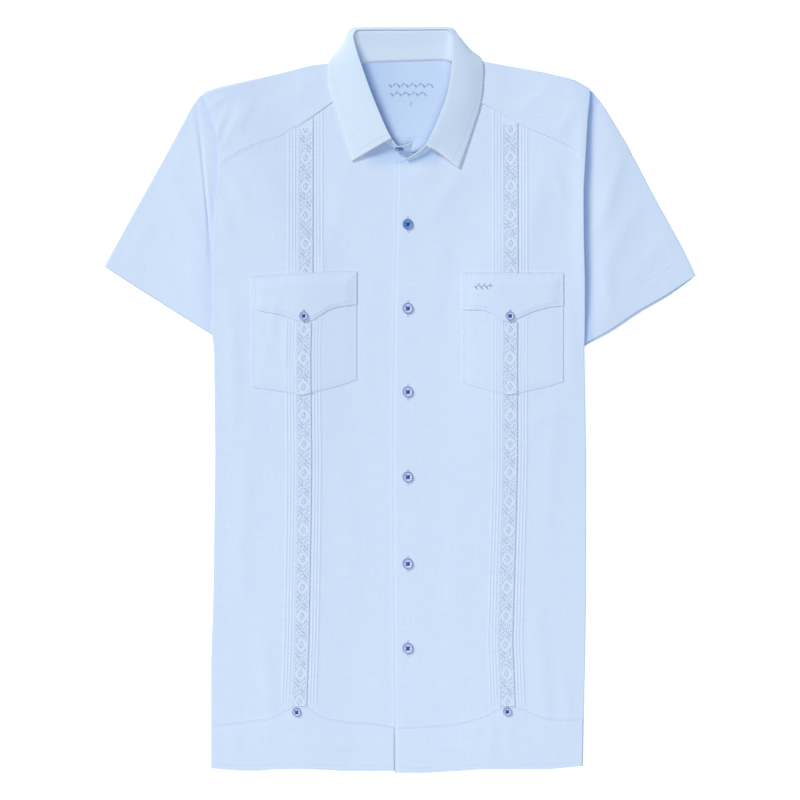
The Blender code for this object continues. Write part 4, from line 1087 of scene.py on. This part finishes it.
# Section from the middle of the face round the rim to the back: shares of the radius and
# of the thickness.
BUTTON_PROFILE = ((0, 0.62), (0.35, 0.62), (0.58, 0.66), (0.66, 0.8), (0.74, 0.95), (0.84, 1),
                  (0.94, 0.93), (1, 0.7), (0.98, 0.4), (0.9, 0.12), (0.78, 0), (0, 0))


def button_finish(name, deep, pale):
    """Polished polyester with a pearl swirl: glossy, a darker blue towards the rim."""
    finish, tree, shader = new_finish(name)
    at = node(tree, "ShaderNodeTexCoord").outputs["Object"]
    swirl = node(tree, "ShaderNodeTexNoise", {"Vector": at, "Scale": 260.0, "Detail": 2.0,
                                              "Distortion": 1.5})
    tone = node(tree, "ShaderNodeMix", {"Factor": swirl.outputs[0], "A": paint(deep),
                                        "B": paint(pale)}, data_type="RGBA")
    rim = node(tree, "ShaderNodeAttribute", attribute_name="rim").outputs["Fac"]
    whole = node(tree, "ShaderNodeMix", {"Factor": rim, "A": tone.outputs[2],
                                         "B": paint("3F62AE")}, data_type="RGBA")
    tree.links.new(whole.outputs[2], shader.inputs["Base Color"])
    shader.inputs["Roughness"].default_value = 0.35
    shader.inputs["IOR"].default_value = 1.55
    return finish


button_gloss = button_finish("pearl_polyester_pale_blue", "A9C0E6", "CBDAF3")
button_gloss_top = button_finish("pearl_polyester_mid_blue", "4F7DC6", "6F9AD8")
navy_thread = thread_finish("sewing_thread_navy", ("10308F", "1D43A6"), 0.6)


def turned_button(radius, thickness, hole, hole_ring):
    """A section carried round the Z axis, less four round holes of radius hole, whose
    centres lie hole_ring from the axis: vertices and faces."""
    profile = np.array(BUTTON_PROFILE) * (radius, thickness)
    angle = np.linspace(0, 2 * np.pi, 48, endpoint=False)[:, None]
    rings = np.stack(np.broadcast_arrays(profile[:, 0] * np.cos(angle), profile[:, 0] * np.sin(angle),
                                         profile[:, 1]), -1)
    count, steps = rings.shape[:2]
    near, after = np.arange(count), (np.arange(count) + 1) % count
    quads = [np.stack([near * steps + i, after * steps + i, after * steps + i + 1,
                       near * steps + i + 1], -1) for i in range(steps - 1)]
    mesh = bpy.data.meshes.new("button_blank")
    mesh.from_pydata(rings.reshape(-1, 3).tolist(), [], np.concatenate(quads).tolist())
    work = bmesh.new()
    work.from_mesh(mesh)
    bmesh.ops.remove_doubles(work, verts=work.verts, dist=1e-6)
    bmesh.ops.recalc_face_normals(work, faces=work.faces)
    work.to_mesh(mesh)
    work.clear()
    for turn in range(4):
        way = np.pi / 4 + turn * np.pi / 2
        pin = bmesh.ops.create_cone(work, cap_ends=True, segments=12, radius1=hole, radius2=hole,
                                    depth=4 * thickness)
        bmesh.ops.translate(work, verts=pin["verts"],
                            vec=(hole_ring * np.cos(way), hole_ring * np.sin(way), 0))
    pins = bpy.data.meshes.new("button_pins")
    work.to_mesh(pins)
    work.free()
    blank, cutter = bpy.data.objects.new("blank", mesh), bpy.data.objects.new("pins", pins)
    for helper in (blank, cutter):
        bpy.context.scene.collection.objects.link(helper)
    cut = blank.modifiers.new("holes", "BOOLEAN")
    cut.operation, cut.object = "DIFFERENCE", cutter
    bpy.context.view_layer.update()
    made = bpy.data.meshes.new_from_object(blank.evaluated_get(bpy.context.evaluated_depsgraph_get()))
    for helper in (blank, cutter):
        bpy.data.objects.remove(helper, do_unlink=True)
    points = np.empty(len(made.vertices) * 3)
    made.vertices.foreach_get("co", points)
    faces = [list(face.vertices) for face in made.polygons]
    return points.reshape(-1, 3), faces


BUTTON_SIZES = {
    "front": dict(radius=5.7 * MM, thickness=2.2 * MM, hole=0.8 * MM, hole_ring=2.5 * MM),
    "small": dict(radius=4.6 * MM, thickness=2.0 * MM, hole=0.7 * MM, hole_ring=2.0 * MM),
}
button_shapes = {kind: turned_button(**size) for kind, size in BUTTON_SIZES.items()}
cross_ends = []


def sew_button(name, kind, seat, normal, cad_node, finish=button_gloss,
               strands=(-0.75, 0, 0.75)):
    """Puts a button on its seat, square to the normal, with its cross of thread: strands
    side by side, at these shifts in millimetres, over each pair of holes."""
    size = BUTTON_SIZES[kind]
    points, faces = button_shapes[kind]
    turn = np.array(Vector(normal).to_track_quat("Z", "Y").to_matrix())
    mesh = bpy.data.meshes.new(name)
    mesh.from_pydata((points @ turn.T + seat).tolist(), [], faces)
    from_axis = np.hypot(points[:, 0], points[:, 1]) / size["radius"]
    piece = placed(name, mesh, finish)
    mesh.set_sharp_from_angle(angle=0.7)
    mark(piece, "rim", smooth((from_axis - 0.8) / 0.1))
    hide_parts(cad_node)
    ring, top = size["hole_ring"], size["thickness"] * 0.62
    ways = np.pi / 4 + np.array([0, 2, 1, 3]) * np.pi / 2
    spots = np.stack([ring * np.cos(ways), ring * np.sin(ways), np.full(4, top + 0.15 * MM)], -1)
    pairs = spots.reshape(2, 2, 3)
    for shift in strands:
        side_step = np.cross(pairs[:, 1] - pairs[:, 0], (0, 0, 1))
        side_step = side_step / np.linalg.norm(side_step, axis=1)[:, None] * shift * MM
        cross_ends.append((pairs + side_step[:, None]) @ turn.T + seat)


def seat_on_front(side, out, y, height):
    """Seat and normal of a button that lies some height above the front's plain wall."""
    step = 3 * MM
    across = front_height(side, out + step, y) - front_height(side, out - step, y)
    up = front_height(side, out, y + step) - front_height(side, out, y - step)
    normal = np.array([-SIDES[side] * across, -up, 2 * step])
    normal /= np.linalg.norm(normal)
    middle = np.array([SIDES[side] * out, y, front_height(side, out, y) + height])
    return middle + normal * (WALL / 2 + 0.2 * MM), normal


for number, height in enumerate(FRONT_BUTTONS, 1):
    seat, normal = seat_on_front("left", FRONT_BUTTON_OUT, height, 0)
    sew_button(f"button_turned_front_{number}", "front", seat, normal, f"button_front_{number}",
               button_gloss_top if number == 1 else button_gloss)
for side in SIDES:
    out, height = HEM_BUTTONS[side]
    seat, normal = seat_on_front(side, out, height, LAID)
    sew_button(f"button_turned_hem_{side}", "small", seat, normal, f"button_hem_{side}")
    seat, normal = seat_on_front(side, POCKET_BUTTONS[side], POCKET_BUTTON_HEIGHT, FLAP_LAID)
    sew_button(f"button_turned_pocket_{side}", "small", seat, normal, f"button_pocket_{side}")
sew_button("button_turned_collar", "small", COLLAR_BUTTON, COLLAR_BUTTON_NORMAL, "button_collar",
           strands=(0,))
thread_bars("button_crosses", np.concatenate(cross_ends), 1.15 * MM, navy_thread)

# The close stitches on both long edges of each buttonhole, and its two bars.
hole_ends = []
for out, height, lift, length, side in (
        *[(FRONT_BUTTON_OUT, y, 0, 17, "left") for y in FRONT_BUTTONS],
        *[(POCKET_BUTTONS[side], POCKET_BUTTON_HEIGHT, FLAP_LAID, 13, side) for side in SIDES]):
    at = height + np.arange(-length / 2, length / 2, 0.55) * MM
    for edge in (-1, 1):
        outs = out + edge * np.array([0.25, 1.35]) * MM
        hole_ends.append(on_front(side, outs[None], at[:, None], lift + TOP_OF_CLOTH))
    for tip in (-1, 1):
        outs = out + np.array([-1.4, 1.4]) * MM
        ys = height + tip * (length / 2 + np.array([0.1, 0.5])) * MM
        hole_ends.append(on_front(side, outs[None], ys[:, None], lift + TOP_OF_CLOTH + 0.1 * MM))
thread_bars("buttonholes", np.concatenate(hole_ends), 0.5 * MM, pale_thread)


# ---- Small motifs ------------------------------------------------------------
# Embroidered inside the back of the neck, two running sprigs over a small diamond, and on
# the wearer's left flap a sprig of leaves. All are in slate-blue satin stitch.

motif_thread = thread_finish("embroidery_thread_slate_blue", ("7D97C4", "93ABD2"), 0.55)


def sprig(middle, length, leaf, pitch, wave):
    """Strokes (x, y, x, y, width) of a waved stem with a leaf on either side in turn."""
    at = np.arange(-length / 2, length / 2, 1.4)
    stem_y = wave * np.sin(at * np.pi / pitch)
    strokes = [(x0, y0, x1, y1, 0.8) for x0, y0, x1, y1
               in zip(at[:-1], stem_y[:-1], at[1:], stem_y[1:])]
    for number, x in enumerate(np.arange(-length / 2 + 1, length / 2, pitch)):
        y, way = wave * np.sin(x * np.pi / pitch), 1 if number % 2 else -1
        strokes.append((x, y, x + 0.7 * leaf, y + way * leaf, 1.3))
    return (np.array(strokes) + np.array([*middle, *middle, 0])) * MM


neck_strokes = [sprig((12, 347.5), 50, 3.6, 4.6, 1.2), sprig((9, 338), 40, 3.4, 4.6, -1.1),
                np.array([(10.2, 326.5, 12, 329, 0.7), (12, 329, 13.8, 326.5, 0.7),
                          (13.8, 326.5, 12, 324, 0.7), (12, 324, 10.2, 326.5, 0.7)]) * MM]
marks = satin(np.concatenate(neck_strokes), pitch=0.5 * MM)
z = CAD_WALL / 2 + over_leaf(marks[..., 0], marks[..., 1]) + TOP_OF_CLOTH
thread_bars("motif_inside_neck", np.concatenate([marks, z[..., None]], -1), 0.42 * MM,
            motif_thread)

flap_strokes = np.concatenate([sprig((90, 126), 17, 2.9, 3.0, 0.5),
                               np.array([(98, 126, 101.5, 126.6, 1.4)]) * MM])
marks = satin(flap_strokes, pitch=0.5 * MM)
from_edge = np.minimum(marks[..., 0] - POCKET["left"]["out"][0],
                       POCKET["left"]["top"][0] - marks[..., 1])
lift = flap_lift(from_edge) + TOP_OF_CLOTH
thread_bars("motif_on_flap", on_front("left", marks[..., 0], marks[..., 1], lift, 0), 0.45 * MM,
            motif_thread)


# ---- Table, light and camera --------------------------------------------------
# A plain near-white table top, a large soft lamp high on the wearer's right of the collar,
# a weaker overhead one, and a long lens straight above.

# Opal acrylic over a light box: matt, so it mirrors nothing, and it glows a little.
opal, _, shader = new_finish("matt_opal_table_lit_from_below")
shader.inputs["Base Color"].default_value = paint("FAFBFC")
shader.inputs["Roughness"].default_value = 0.9
shader.inputs["Specular IOR Level"].default_value = 0.0
shader.inputs["Emission Color"].default_value = (1, 1, 1, 1)
shader.inputs["Emission Strength"].default_value = 0.4

mesh = bpy.data.meshes.new("table_top")
mesh.from_pydata([(-6, -6, 0), (6, -6, 0), (6, 6, 0), (-6, 6, 0)], [], [(0, 1, 2, 3)])
mesh.materials.append(opal)
table_top = bpy.data.objects.new("table_top", mesh)
bpy.context.scene.collection.objects.link(table_top)


def soft_lamp(name, place, size, power, aim=(0, 0, 0)):
    """A square lamp at a place, turned to its aim. It is a little warm, against the cool
    light of the room that fills the shadows."""
    lamp = bpy.data.lights.new(name, "AREA")
    lamp.shape, lamp.size, lamp.energy = "SQUARE", size, power
    lamp.color = (1.0, 0.888, 0.748)
    made = bpy.data.objects.new(name, lamp)
    made.location = place
    made.rotation_euler = (Vector(aim) - Vector(place)).to_track_quat("-Z", "Y").to_euler()
    bpy.context.scene.collection.objects.link(made)


soft_lamp("lamp_key", (-5.6, 5.4, 5.8), 3.0, 720)
soft_lamp("lamp_overhead", (0.1, -1.5, 3.4), 2.6, 80)
world = bpy.data.worlds.new("room")
world.use_nodes = True
world.node_tree.nodes["Background"].inputs["Color"].default_value = (0.27, 0.585, 1.0, 1)
world.node_tree.nodes["Background"].inputs["Strength"].default_value = 0.38
bpy.context.scene.world = world

lens = bpy.data.cameras.new("camera")
lens.lens, lens.sensor_width = 100, 36
camera = bpy.data.objects.new("camera", lens)
camera.location = (0, 1.1 * MM, 2.447)
bpy.context.scene.collection.objects.link(camera)
bpy.context.scene.camera = camera
bpy.context.scene.view_settings.view_transform = "Standard"
